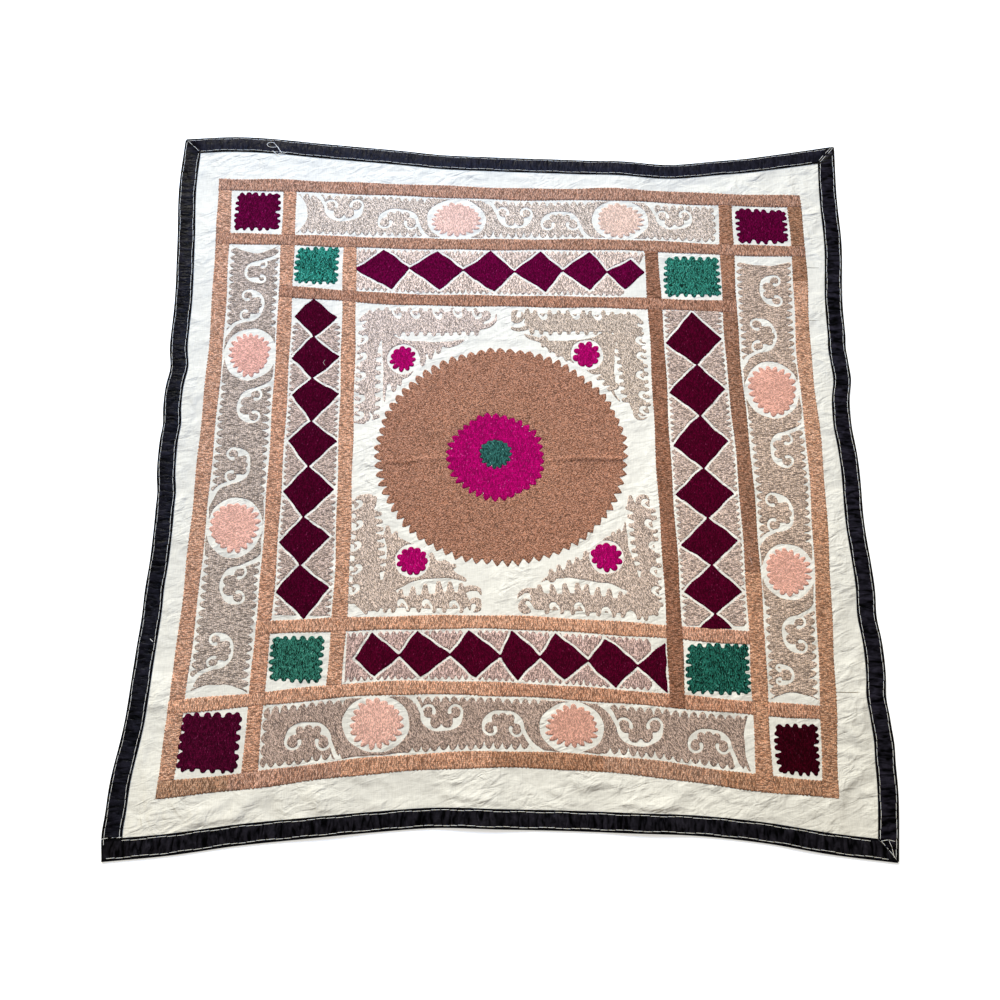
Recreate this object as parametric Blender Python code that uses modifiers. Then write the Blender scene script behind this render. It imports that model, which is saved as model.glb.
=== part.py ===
"""A square embroidered cotton cloth with a black satin binding, lying flat with its edges drawn in.

The cloth is drawn as a flat pattern: across the width runs -HALF_WIDTH to HALF_WIDTH, and up the
length runs -HALF_LENGTH to HALF_LENGTH. The tables of edges say where each pattern edge lies on
the floor, and the table of ripples says where the sheet stands up from it.
"""
import math

import bmesh
import bpy
import numpy as np

OBJECT_NAME = "embroidered_cloth"

# Flat pattern, in metres
HALF_WIDTH = 0.80
HALF_LENGTH = 0.84
BINDING_WIDTH = 0.042

# Thicknesses and clearances, in metres
CLOTH_THICKNESS = 0.0015
LEAF_THICKNESS = 0.0010
PIECE_GAP = 0.00035
MITRE_GAP = 0.00055
FOLD_CLEARANCE = 0.0006
RAMP_WIDTH = 0.025

# The binding is a strip folded round the cloth's edge: two leaves and a half-round fold
FOLD_RADIUS = (LEAF_THICKNESS + CLOTH_THICKNESS) / 2 + PIECE_GAP
LOWER_LEAF_MIDDLE = LEAF_THICKNESS / 2
FOLD_MIDDLE = LOWER_LEAF_MIDDLE + FOLD_RADIUS
CLOTH_LIFT = LEAF_THICKNESS + PIECE_GAP
CLOTH_INSET = FOLD_RADIUS + FOLD_CLEARANCE
BAND = BINDING_WIDTH + 0.0015

CELLS_ACROSS = 28
CELLS_UP = 30
FOLD_STEPS = 3

# Where each edge lies, at thirteen even stations: y from left to right, then x from bottom to top
TOP_EDGE_Y = (0.840, 0.848, 0.838, 0.826, 0.814, 0.800, 0.797, 0.794, 0.789, 0.783, 0.796, 0.817, 0.841)
BOTTOM_EDGE_Y = (
    -0.850, -0.836, -0.816, -0.801, -0.787, -0.776, -0.777, -0.778, -0.781, -0.784, -0.796, -0.816, -0.830
)
LEFT_EDGE_X = (
    -0.800, -0.803, -0.785, -0.780, -0.772, -0.772, -0.781, -0.782, -0.784, -0.785, -0.795, -0.806, -0.804
)
RIGHT_EDGE_X = (0.799, 0.811, 0.808, 0.808, 0.802, 0.792, 0.792, 0.783, 0.789, 0.788, 0.799, 0.798, 0.803)

# Ripples, in metres: middle x and y, heading in degrees, half length, half width, height
RIPPLES = (
    (-0.56, 0.76, 97, 0.17, 0.10, 0.0030),
    (-0.10, 0.78, 84, 0.14, 0.11, 0.0026),
    (0.27, 0.76, 76, 0.19, 0.10, 0.0042),
    (0.50, 0.76, 104, 0.17, 0.10, 0.0032),
    (-0.75, 0.47, -4, 0.15, 0.11, 0.0026),
    (-0.74, 0.14, 8, 0.15, 0.10, 0.0032),
    (-0.75, -0.22, -6, 0.16, 0.11, 0.0034),
    (-0.75, -0.53, 22, 0.16, 0.10, 0.0040),
    (-0.64, -0.70, 48, 0.12, 0.09, 0.0044),
    (-0.34, -0.73, 70, 0.15, 0.10, 0.0036),
    (-0.04, -0.72, 92, 0.17, 0.11, 0.0046),
    (0.30, -0.73, 99, 0.16, 0.11, 0.0036),
    (0.60, -0.71, 122, 0.14, 0.09, 0.0044),
    (0.75, -0.52, -24, 0.14, 0.10, 0.0040),
    (0.75, -0.20, 4, 0.16, 0.11, 0.0034),
    (0.74, 0.12, -5, 0.15, 0.10, 0.0030),
    (0.75, 0.44, 6, 0.15, 0.11, 0.0028),
)

COTTON_COLOUR = (0.79, 0.76, 0.69, 1.0)
SATIN_COLOUR = (0.010, 0.010, 0.016, 1.0)


def smooth_between(values, share):
    """The value at a share from 0 to 1 of the way through evenly spaced values, on a smooth curve."""
    place = min(max(share, 0.0), 1.0) * (len(values) - 1)
    left = min(int(place), len(values) - 2)
    t = place - left
    start, end = values[left], values[left + 1]
    before = values[left - 1] if left > 0 else 2 * start - end
    after = values[left + 2] if left + 2 < len(values) else 2 * end - start
    slope_start, slope_end = (end - before) / 2, (after - start) / 2
    return (
        (2 * t**3 - 3 * t**2 + 1) * start
        + (t**3 - 2 * t**2 + t) * slope_start
        + (3 * t**2 - 2 * t**3) * end
        + (t**3 - t**2) * slope_end
    )


def laid(p, q):
    """Where the pattern point (p across, q up) lies on the floor."""
    across = (p + HALF_WIDTH) / (2 * HALF_WIDTH)
    up = (q + HALF_LENGTH) / (2 * HALF_LENGTH)
    x = (1 - across) * smooth_between(LEFT_EDGE_X, up) + across * smooth_between(RIGHT_EDGE_X, up)
    y = (1 - up) * smooth_between(BOTTOM_EDGE_Y, across) + up * smooth_between(TOP_EDGE_Y, across)
    return x, y


def ripple_height(x, y):
    """How high the sheet stands off the floor there: each ripple is a soft ridge that ends at nothing."""
    height = 0.0
    for middle_x, middle_y, heading, half_length, half_width, top in RIPPLES:
        along_x, along_y = math.cos(math.radians(heading)), math.sin(math.radians(heading))
        along = ((x - middle_x) * along_x + (y - middle_y) * along_y) / half_length
        across = ((y - middle_y) * along_x - (x - middle_x) * along_y) / half_width
        if abs(along) < 1 and abs(across) < 1:
            height += top * (1 - along**2) ** 2 * (1 - across**2) ** 2
    return height


def floor_centre():
    """The middle of the box round the laid outline, which the part's origin goes under."""
    steps = np.linspace(-1, 1, 81)
    outline = [laid(s * HALF_WIDTH, side * HALF_LENGTH) for s in steps for side in (-1, 1)]
    outline += [laid(side * HALF_WIDTH, s * HALF_LENGTH) for s in steps for side in (-1, 1)]
    points = np.array(outline)
    return (points.min(axis=0) + points.max(axis=0)) / 2


CENTRE = floor_centre()


def point_on_cloth(p, q, height):
    """A point of the laid sheet, at a height above the underside that rests on the floor."""
    x, y = laid(p, q)
    return x - CENTRE[0], y - CENTRE[1], ripple_height(x, y) + height


def lattice_lines(half, cells):
    """Pattern lines for the sheet: its cut edge, both ends of the ramp beside the binding, even cells."""
    inner = half - BAND - RAMP_WIDTH
    even = [-inner + 2 * inner * k / cells for k in range(cells + 1)]
    return [-half + CLOTH_INSET, -half + BAND, *even, half - BAND, half - CLOTH_INSET]


def grid_object(name, columns, rows, place, collection, material):
    """A grid of columns by rows faces. place(column, row) gives a point's pattern place and height.

    Each face is split from its lower left to its upper right pattern corner, so that sheets which
    lie on each other bend along the same lines.
    """
    mesh = bpy.data.meshes.new(name)
    bm = bmesh.new()
    bmesh.ops.create_grid(bm, x_segments=columns, y_segments=rows, size=0.5)
    pattern_sum = {}
    for vertex in bm.verts:
        column = round((vertex.co.x + 0.5) * columns)
        row = round((vertex.co.y + 0.5) * rows)
        p, q, height = place(column, row)
        vertex.co = point_on_cloth(p, q, height)
        pattern_sum[vertex] = p + q
    for face in list(bm.faces):
        lowest = min(face.verts, key=pattern_sum.get)
        highest = max(face.verts, key=pattern_sum.get)
        if not any(lowest in edge.verts and highest in edge.verts for edge in face.edges):
            bmesh.utils.face_split(face, lowest, highest)
    bm.to_mesh(mesh)
    bm.free()
    mesh.materials.append(material)
    made = bpy.data.objects.new(name, mesh)
    collection.objects.link(made)
    return made


def add_thickness(made, thickness, offset):
    solid = made.modifiers.new("thickness", "SOLIDIFY")
    solid.thickness = thickness
    solid.offset = offset
    solid.use_even_offset = True
    made.data.shade_smooth()


def cotton_material():
    return plain_material("cotton", COTTON_COLOUR, 0.9)


def satin_material():
    return plain_material("satin", SATIN_COLOUR, 0.38)


def plain_material(name, colour, roughness):
    material = bpy.data.materials.new(name)
    material.use_nodes = True
    shader = material.node_tree.nodes["Principled BSDF"]
    shader.inputs["Base Color"].default_value = colour
    shader.inputs["Roughness"].default_value = roughness
    shader.inputs["Metallic"].default_value = 0.0
    return material


def ground_cloth(collection, material):
    """The one sheet of cotton. Its rim lies inside the binding, and its middle lies on the floor."""
    lines_across = lattice_lines(HALF_WIDTH, CELLS_ACROSS)
    lines_up = lattice_lines(HALF_LENGTH, CELLS_UP)

    def place(column, row):
        p, q = lines_across[column], lines_up[row]
        in_band = min(column, row, len(lines_across) - 1 - column, len(lines_up) - 1 - row) < 2
        return p, q, CLOTH_LIFT if in_band else 0.0

    made = grid_object(
        "ground_cloth", len(lines_across) - 1, len(lines_up) - 1, place, collection, material
    )
    add_thickness(made, CLOTH_THICKNESS, 1.0)


def binding_profile():
    """The folded strip's middle line, as (distance in from the cloth's edge, height) pairs."""
    upper = FOLD_MIDDLE + FOLD_RADIUS
    profile = [(BINDING_WIDTH, upper)]
    for step in range(FOLD_STEPS + 1):
        turn = math.pi * step / FOLD_STEPS
        inward = FOLD_RADIUS * (1 - math.sin(turn))
        profile.append((inward, FOLD_MIDDLE + FOLD_RADIUS * math.cos(turn)))
    profile.append((BINDING_WIDTH, LOWER_LEAF_MIDDLE))
    return profile


def mitred(half, inward):
    """How far along a strip with a diagonal end and a blunt tip reaches, by distance in from the edge."""
    return half - max(inward, FOLD_RADIUS) - MITRE_GAP


def squared(half, inward):
    """How far along a strip reaches that runs right to the corner."""
    return half


def stopped(half, inward):
    """How far along a strip reaches that stops at the inner edge of the next one."""
    return half - BINDING_WIDTH - PIECE_GAP


def binding_strip(side, start_end, far_end, collection, material):
    """One strip of binding. Its ends are functions that say how far along it reaches."""
    across_cloth = side in ("top", "bottom")
    half_along, half_out = (HALF_WIDTH, HALF_LENGTH) if across_cloth else (HALF_LENGTH, HALF_WIDTH)
    cells = CELLS_ACROSS if across_cloth else CELLS_UP
    outward = 1 if side in ("top", "right") else -1
    profile = binding_profile()
    even_lines = lattice_lines(half_along, cells)[2:-2]

    def place(column, row):
        inward, height = profile[row]
        if column == 0:
            along = -start_end(half_along, inward)
        elif column == len(even_lines) + 1:
            along = far_end(half_along, inward)
        else:
            along = even_lines[column - 1]
        out = outward * (half_out - inward)
        return (along, out, height) if across_cloth else (out, along, height)

    made = grid_object(
        f"binding_{side}", len(even_lines) + 1, len(profile) - 1, place, collection, material
    )
    add_thickness(made, LEAF_THICKNESS, 0.0)


def main():
    for old in list(bpy.data.objects):
        bpy.data.objects.remove(old)
    collection = bpy.data.collections.new(OBJECT_NAME)
    bpy.context.scene.collection.children.link(collection)
    ground_cloth(collection, cotton_material())
    satin = satin_material()
    binding_strip("top", mitred, mitred, collection, satin)
    binding_strip("right", mitred, mitred, collection, satin)
    binding_strip("bottom", squared, mitred, collection, satin)
    binding_strip("left", stopped, mitred, collection, satin)


main()
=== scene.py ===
"""The looks of an embroidered cotton cover with a black satin binding, lying flat.

Sizes are in metres unless a name says otherwise. Places on the cloth are floor coordinates, with x to
the right and y away from the camera, from the middle of the flat pattern. CENTRE is where the part's
origin lies in them.
"""
import math

import bpy
import numpy as np
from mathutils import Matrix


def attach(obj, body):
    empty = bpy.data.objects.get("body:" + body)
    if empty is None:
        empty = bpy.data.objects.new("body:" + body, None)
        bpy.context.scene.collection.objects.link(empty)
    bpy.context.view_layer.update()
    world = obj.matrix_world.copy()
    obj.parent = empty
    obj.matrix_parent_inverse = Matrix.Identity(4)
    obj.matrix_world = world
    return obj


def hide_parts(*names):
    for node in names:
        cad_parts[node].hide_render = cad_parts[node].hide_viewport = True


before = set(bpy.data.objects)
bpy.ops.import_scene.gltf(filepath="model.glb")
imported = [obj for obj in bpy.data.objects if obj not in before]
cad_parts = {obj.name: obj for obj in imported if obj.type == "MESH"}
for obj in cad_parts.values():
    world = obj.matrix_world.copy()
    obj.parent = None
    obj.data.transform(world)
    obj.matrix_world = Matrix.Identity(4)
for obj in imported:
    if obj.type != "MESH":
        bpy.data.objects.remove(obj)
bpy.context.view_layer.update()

# ---------------------------------------------------------------- the flat pattern and how it lies

HALF_WIDTH = 0.80
HALF_LENGTH = 0.84
BINDING_WIDTH = 0.042
CLOTH_THICKNESS = 0.0015
LEAF_THICKNESS = 0.0010
PIECE_GAP = 0.00035
MITRE_GAP = 0.00055
FOLD_CLEARANCE = 0.0006
RAMP_WIDTH = 0.025
FOLD_RADIUS = (LEAF_THICKNESS + CLOTH_THICKNESS) / 2 + PIECE_GAP
LOWER_LEAF_MIDDLE = LEAF_THICKNESS / 2
FOLD_MIDDLE = LOWER_LEAF_MIDDLE + FOLD_RADIUS
CLOTH_LIFT = LEAF_THICKNESS + PIECE_GAP
CLOTH_INSET = FOLD_RADIUS + FOLD_CLEARANCE
BAND = BINDING_WIDTH + 0.0015

# Where each edge lies, at thirteen even stations: y from left to right, then x from bottom to top
TOP_EDGE_Y = (0.840, 0.848, 0.838, 0.826, 0.814, 0.800, 0.797, 0.794, 0.789, 0.783, 0.796, 0.817, 0.841)
BOTTOM_EDGE_Y = (
    -0.850, -0.836, -0.816, -0.801, -0.787, -0.776, -0.777, -0.778, -0.781, -0.784, -0.796, -0.816, -0.830
)
LEFT_EDGE_X = (
    -0.800, -0.803, -0.785, -0.780, -0.772, -0.772, -0.781, -0.782, -0.784, -0.785, -0.795, -0.806, -0.804
)
RIGHT_EDGE_X = (0.799, 0.811, 0.808, 0.808, 0.802, 0.792, 0.792, 0.783, 0.789, 0.788, 0.799, 0.798, 0.803)

# Small places where the sewing pulls a side edge to the right or left: the side, as 1 for the right one and
# -1 for the left one, middle y, half length and shift in x
EDGE_DRAWS = (
    (1, 0.213, 0.036, 0.0064), (1, -0.340, 0.040, -0.0050), (1, -0.510, 0.032, -0.0046),
    (1, -0.605, 0.030, 0.0026), (1, 0.295, 0.022, -0.0026), (1, 0.095, 0.036, -0.0020),
    (-1, 0.229, 0.034, 0.0066), (-1, 0.090, 0.026, 0.0038), (-1, -0.070, 0.028, 0.0028),
    (-1, -0.290, 0.045, -0.0034), (-1, -0.790, 0.032, -0.0044),
)
# The pattern coordinates between which these pulls fade in towards the edge
DRAWN_ZONE = (0.70, 0.76)

# Ripples: middle x and y, heading in degrees, half length, half width, height
RIPPLES = (
    (-0.56, 0.76, 97, 0.17, 0.10, 0.0030),
    (-0.10, 0.78, 84, 0.14, 0.11, 0.0026),
    (0.27, 0.76, 76, 0.19, 0.10, 0.0042),
    (0.50, 0.76, 104, 0.17, 0.10, 0.0032),
    (-0.75, 0.47, -4, 0.15, 0.11, 0.0026),
    (-0.74, 0.14, 8, 0.15, 0.10, 0.0032),
    (-0.75, -0.22, -6, 0.16, 0.11, 0.0034),
    (-0.75, -0.53, 22, 0.16, 0.10, 0.0040),
    (-0.64, -0.70, 48, 0.12, 0.09, 0.0044),
    (-0.34, -0.73, 70, 0.15, 0.10, 0.0036),
    (-0.04, -0.72, 92, 0.17, 0.11, 0.0046),
    (0.30, -0.73, 99, 0.16, 0.11, 0.0036),
    (0.60, -0.71, 122, 0.14, 0.09, 0.0044),
    (0.75, -0.52, -24, 0.14, 0.10, 0.0040),
    (0.75, -0.20, 4, 0.16, 0.11, 0.0034),
    (0.74, 0.12, -5, 0.15, 0.10, 0.0030),
    (0.75, 0.44, 6, 0.15, 0.11, 0.0028),
)

# Fine creases: first x and y, last x and y, half width, height
CREASES = (
    (-0.33, 0.004, -0.08, 0.012, 0.0045, 0.0034),
    (0.07, 0.006, 0.34, 0.028, 0.0045, 0.0050),
    (-0.36, 0.010, -0.29, 0.014, 0.006, 0.0010),
    (-0.010, -0.24, -0.014, -0.34, 0.006, 0.0010),
    (-0.06, -0.742, 0.03, -0.672, 0.008, 0.0026),
    (-0.09, -0.712, 0.06, -0.738, 0.008, 0.0022),
    (-0.16, -0.692, -0.05, -0.728, 0.007, 0.0018),
    (0.05, -0.690, 0.19, -0.730, 0.008, 0.0019),
    (0.20, -0.720, 0.36, -0.742, 0.010, 0.0019),
    (-0.30, -0.690, -0.24, -0.765, 0.009, 0.0022),
    (-0.39, -0.715, -0.35, -0.782, 0.009, 0.0019),
    (-0.40, -0.700, -0.32, -0.770, 0.013, 0.0040),
    (-0.64, -0.735, -0.54, -0.815, 0.011, 0.0024),
    (-0.76, -0.600, -0.70, -0.790, 0.012, 0.0026),
    (0.50, -0.735, 0.62, -0.770, 0.010, 0.0022),
    (0.66, -0.745, 0.75, -0.640, 0.012, 0.0029),
    (0.70, -0.560, 0.76, -0.610, 0.010, 0.0024),
    (0.70, -0.545, 0.77, -0.530, 0.008, 0.0016),
    (0.25, 0.770, 0.31, 0.715, 0.009, 0.0022),
    (0.33, 0.765, 0.37, 0.728, 0.008, 0.0018),
    (0.17, 0.760, 0.21, 0.722, 0.008, 0.0016),
    (0.43, 0.765, 0.40, 0.726, 0.009, 0.0016),
    (-0.14, 0.770, -0.05, 0.722, 0.008, 0.0016),
    (-0.02, 0.765, 0.07, 0.725, 0.008, 0.0016),
    (-0.62, 0.790, -0.56, 0.745, 0.010, 0.0019),
    (-0.755, 0.190, -0.70, 0.130, 0.009, 0.0019),
    (-0.755, 0.150, -0.70, 0.165, 0.008, 0.0016),
    (0.712, 0.392, 0.748, 0.330, 0.005, 0.0011),
    (-0.470, -0.690, -0.590, -0.790, 0.018, 0.0062),
    (-0.530, -0.705, -0.660, -0.800, 0.014, 0.0044),
    (-0.375, -0.690, -0.398, -0.732, 0.004, 0.0020),
    (0.000, -0.668, -0.075, -0.727, 0.0045, 0.0026),
    (-0.036, -0.658, 0.002, -0.694, 0.004, 0.0020),
    (0.006, -0.718, 0.052, -0.668, 0.004, 0.0022),
    (0.135, -0.680, 0.225, -0.690, 0.010, 0.0024),
    (0.270, -0.765, 0.400, -0.690, 0.017, 0.0056),
    (0.495, -0.708, 0.535, -0.752, 0.0045, 0.0022),
    (0.605, -0.700, 0.645, -0.758, 0.005, 0.0022),
    (0.690, -0.690, 0.775, -0.645, 0.007, 0.0040),
    (0.720, -0.700, 0.776, -0.690, 0.006, 0.0028),
    (0.700, -0.560, 0.762, -0.600, 0.009, 0.0034),
    (0.752, 0.424, 0.724, 0.366, 0.0035, 0.0016),
    (-0.735, -0.545, -0.690, -0.480, 0.009, 0.0028),
    (-0.750, -0.350, -0.700, -0.310, 0.008, 0.0024),
    (-0.735, -0.120, -0.690, -0.050, 0.008, 0.0024),
    (-0.740, -0.210, -0.690, -0.235, 0.007, 0.0020),
)

# Short ripples across the two side margins: first y, last y, how many, height
MARGIN_RIPPLES = {
    "left": (-0.70, 0.62, 34, 0.0015),
    "right": (-0.66, 0.64, 36, 0.0017),
}
MARGIN_MIDDLE_X = {"left": -0.728, "right": 0.736}
MARGIN_RIPPLE_REACH = 0.030
CREASE_BEND = 0.004


def eased(t, start, end, slope_start, slope_end):
    """The value at a share t of the way from start to end, on a curve with these slopes at its ends."""
    return (
        (2 * t**3 - 3 * t**2 + 1) * start
        + (t**3 - 2 * t**2 + t) * slope_start
        + (3 * t**2 - 2 * t**3) * end
        + (t**3 - t**2) * slope_end
    )


def smooth_between(values, share):
    """The value at a share from 0 to 1 of the way through evenly spaced values, on a smooth curve."""
    values = np.asarray(values, float)
    share = np.clip(np.asarray(share, float), 0, 1)
    ends = (2 * values[0] - values[1], 2 * values[-1] - values[-2])
    padded = np.concatenate(([ends[0]], values, [ends[1]]))
    place = share * (len(values) - 1)
    left = np.minimum(place.astype(int), len(values) - 2)
    before, start, end, after = (padded[left + k] for k in range(4))
    return eased(place - left, start, end, (end - before) / 2, (after - start) / 2)


def smooth_step(low, high, value):
    """0 below low and 1 above high, with a soft change between them."""
    t = np.clip((value - low) / (high - low), 0, 1)
    return t * t * (3 - 2 * t)


def laid_smoothly(p, q):
    """Where the pattern point (p across, q up) would lie if its edges were drawn in evenly."""
    across = (p + HALF_WIDTH) / (2 * HALF_WIDTH)
    up = (q + HALF_LENGTH) / (2 * HALF_LENGTH)
    x = (1 - across) * smooth_between(LEFT_EDGE_X, up) + across * smooth_between(RIGHT_EDGE_X, up)
    y = (1 - up) * smooth_between(BOTTOM_EDGE_Y, across) + up * smooth_between(TOP_EDGE_Y, across)
    return x, y


def laid(p, q):
    """Where the pattern point (p across, q up) lies on the floor."""
    x, y = laid_smoothly(p, q)
    for side, middle, reach, shift in EDGE_DRAWS:
        near = smooth_step(*DRAWN_ZONE, side * np.asarray(p))
        x = x + shift * near * np.exp(-(((q - middle) / reach) ** 2))
    return x, y


def direction(heading):
    """The step in x and y of one metre in a heading, in degrees from x towards y."""
    return math.cos(math.radians(heading)), math.sin(math.radians(heading))


def along_and_across(x, y, start, run):
    """Where a point lies from a start: how far along a unit direction, and how far to its left."""
    along = (x - start[0]) * run[0] + (y - start[1]) * run[1]
    across = (y - start[1]) * run[0] - (x - start[0]) * run[1]
    return along, across


def ripple_height(x, y):
    """How high the sheet stands off the floor there: each ripple is a soft ridge that ends at nothing."""
    height = np.zeros(np.shape(x))
    for middle_x, middle_y, heading, half_length, half_width, top in RIPPLES:
        along, across = along_and_across(x, y, (middle_x, middle_y), direction(heading))
        fade = np.clip(1 - (along / half_length) ** 2, 0, 1) ** 2
        height = height + top * fade * np.clip(1 - (across / half_width) ** 2, 0, 1) ** 2
    return height


def fine_crease_height(x, y):
    """The fine creases, as narrow soft ridges that fade at both ends."""
    height = np.zeros(np.shape(x))
    for x0, y0, x1, y1, half_width, top in CREASES:
        length = math.hypot(x1 - x0, y1 - y0)
        along, across = along_and_across(x, y, (x0, y0), ((x1 - x0) / length, (y1 - y0) / length))
        along = along / length
        across = across + CREASE_BEND * np.sin(along * 7.0 + x0 * 40)
        fade = np.clip(1 - (2 * along - 1) ** 2, 0, 1)
        height = height + top * fade * np.exp(-((across / half_width) ** 2))
    return height


def margin_ripple_height(x, y):
    """The short cross ripples of the side margins: waves along y that wander, slant and come and go."""
    height = np.zeros(np.shape(x))
    for side, (first, last, count, top) in MARGIN_RIPPLES.items():
        share = (y - first) / (last - first)
        from_middle = x - MARGIN_MIDDLE_X[side]
        wander = 1.3 * np.sin(y * 19.0) + 0.9 * np.sin(y * 43.0 + 1.0)
        slant = from_middle * 14 * np.sin(y * 11.0 + 2.0)
        wave = 0.5 + 0.5 * np.sin(2 * math.pi * (share * count) + wander + slant)
        band = np.exp(-((from_middle / MARGIN_RIPPLE_REACH) ** 2))
        strength = 0.55 + 0.45 * np.sin(y * 9.0 + 0.6)
        height = height + np.where((share > 0) & (share < 1), top * wave**2 * band * strength, 0)
    return height


def crease_height(x, y):
    return fine_crease_height(x, y) + margin_ripple_height(x, y)


def floor_centre():
    """The middle of the box round the laid outline, which the part's origin goes under."""
    steps = np.linspace(-1, 1, 81)
    outline = []
    for side in (-1, 1):
        outline.append(laid_smoothly(steps * HALF_WIDTH, side * HALF_LENGTH * np.ones(81)))
        outline.append(laid_smoothly(side * HALF_WIDTH * np.ones(81), steps * HALF_LENGTH))
    points = np.concatenate(outline, axis=1)
    return (points.min(axis=1) + points.max(axis=1)) / 2


CENTRE = floor_centre()


def cloth_top(x, y):
    """The height of the cotton's upper face, away from the binding."""
    return ripple_height(x, y) + crease_height(x, y) + CLOTH_THICKNESS


# ---------------------------------------------------------------- materials


def srgb(red, green, blue):
    """A colour as seen in the photograph, from 0 to 255, as Blender's linear colour."""
    shares = np.array((red, green, blue)) / 255
    linear = np.where(shares <= 0.04045, shares / 12.92, ((shares + 0.055) / 1.055) ** 2.4)
    return (*(float(v) for v in linear), 1.0)


def node(tree, kind, inputs=(), **settings):
    """Adds a shader node. An input's value is a number, a colour or another node's socket."""
    made = tree.nodes.new("ShaderNode" + kind)
    for name, value in settings.items():
        setattr(made, name, value)
    for name, value in dict(inputs).items():
        socket = made.inputs[name]
        if isinstance(value, bpy.types.NodeSocket):
            tree.links.new(value, socket)
        else:
            socket.default_value = value
    return made


def calculate(tree, operation, first, second=0.0, third=0.0):
    inputs = {0: first, 1: second, 2: third}
    return node(tree, "Math", inputs, operation=operation).outputs[0]


def spread_over(tree, value, low, high, new_low=0.0, new_high=1.0):
    """The value's range from low to high, mapped to another range."""
    inputs = {"Value": value, "From Min": low, "From Max": high, "To Min": new_low, "To Max": new_high}
    return node(tree, "MapRange", inputs).outputs["Result"]


def noise(tree, place, scale, detail=2.0, distortion=0.0):
    inputs = {"Vector": place, "Scale": scale, "Detail": detail, "Distortion": distortion}
    return node(tree, "TexNoise", inputs).outputs["Fac"]


def varied(tree, value, pattern, low, high, least, most):
    """The value times a pattern, whose range from low to high becomes the one from least to most."""
    return calculate(tree, "MULTIPLY", value, spread_over(tree, pattern, low, high, least, most))


def flat_colour(tree, colour):
    made = node(tree, "RGB").outputs[0]
    made.default_value = colour
    return made


def mixed_colour(tree, share, first, second, blend="MIX"):
    """Two colours blended by a share, which is a number or a socket."""
    made = node(tree, "Mix", data_type="RGBA", blend_type=blend)
    for socket, value in ((made.inputs[0], share), (made.inputs[6], first), (made.inputs[7], second)):
        if isinstance(value, bpy.types.NodeSocket):
            tree.links.new(value, socket)
        else:
            socket.default_value = value
    return made.outputs[2]


def stretched(tree, place, heading, along, across):
    """The place in units of along metres down the heading, in degrees, and across metres beside it."""
    turn = (0.0, 0.0, math.radians(-heading))
    turned = node(tree, "Mapping", {"Vector": place, "Rotation": turn}).outputs["Vector"]
    inputs = {0: turned, 1: (1 / along, 1 / across, 0.0)}
    return node(tree, "VectorMath", inputs, operation="MULTIPLY").outputs["Vector"]


def bumped(tree, height, strength, distance, under=None):
    """The surface's direction where a height dents it, on top of another bump where there is one."""
    inputs = {"Height": height, "Strength": strength, "Distance": distance}
    if under is not None:
        inputs["Normal"] = under
    return node(tree, "Bump", inputs).outputs["Normal"]


def shaded(tree, colour, value):
    """A colour, from 0 to 255, that is lighter or darker from place to place."""
    return node(tree, "HueSaturation", {"Color": srgb(*colour), "Value": value}).outputs["Color"]


def new_material(name, **shader_values):
    """A material's node tree, the place on the part, and a function that links its shader and gives it."""
    material = bpy.data.materials.new(name)
    material.use_nodes = True
    tree = material.node_tree
    shader = tree.nodes["Principled BSDF"]
    for socket, value in shader_values.items():
        shader.inputs[socket.replace("_", " ")].default_value = value

    def finish(colour, normal=None, roughness=None):
        for socket, value in (("Base Color", colour), ("Normal", normal), ("Roughness", roughness)):
            if value is not None:
                tree.links.new(value, shader.inputs[socket])
        return material

    return tree, node(tree, "TexCoord").outputs["Object"], finish


# How far the rows of stitches wander, a fibre's length and width, and the shares of tinted stitches and of
# stitches with painted glints
YARN_DRIFT = 0.0060
FIBRE = (0.0050, 0.0008)
SHADED_SHARE = 0.45
FLECK_GLINT_SHARE = 0.04


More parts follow.
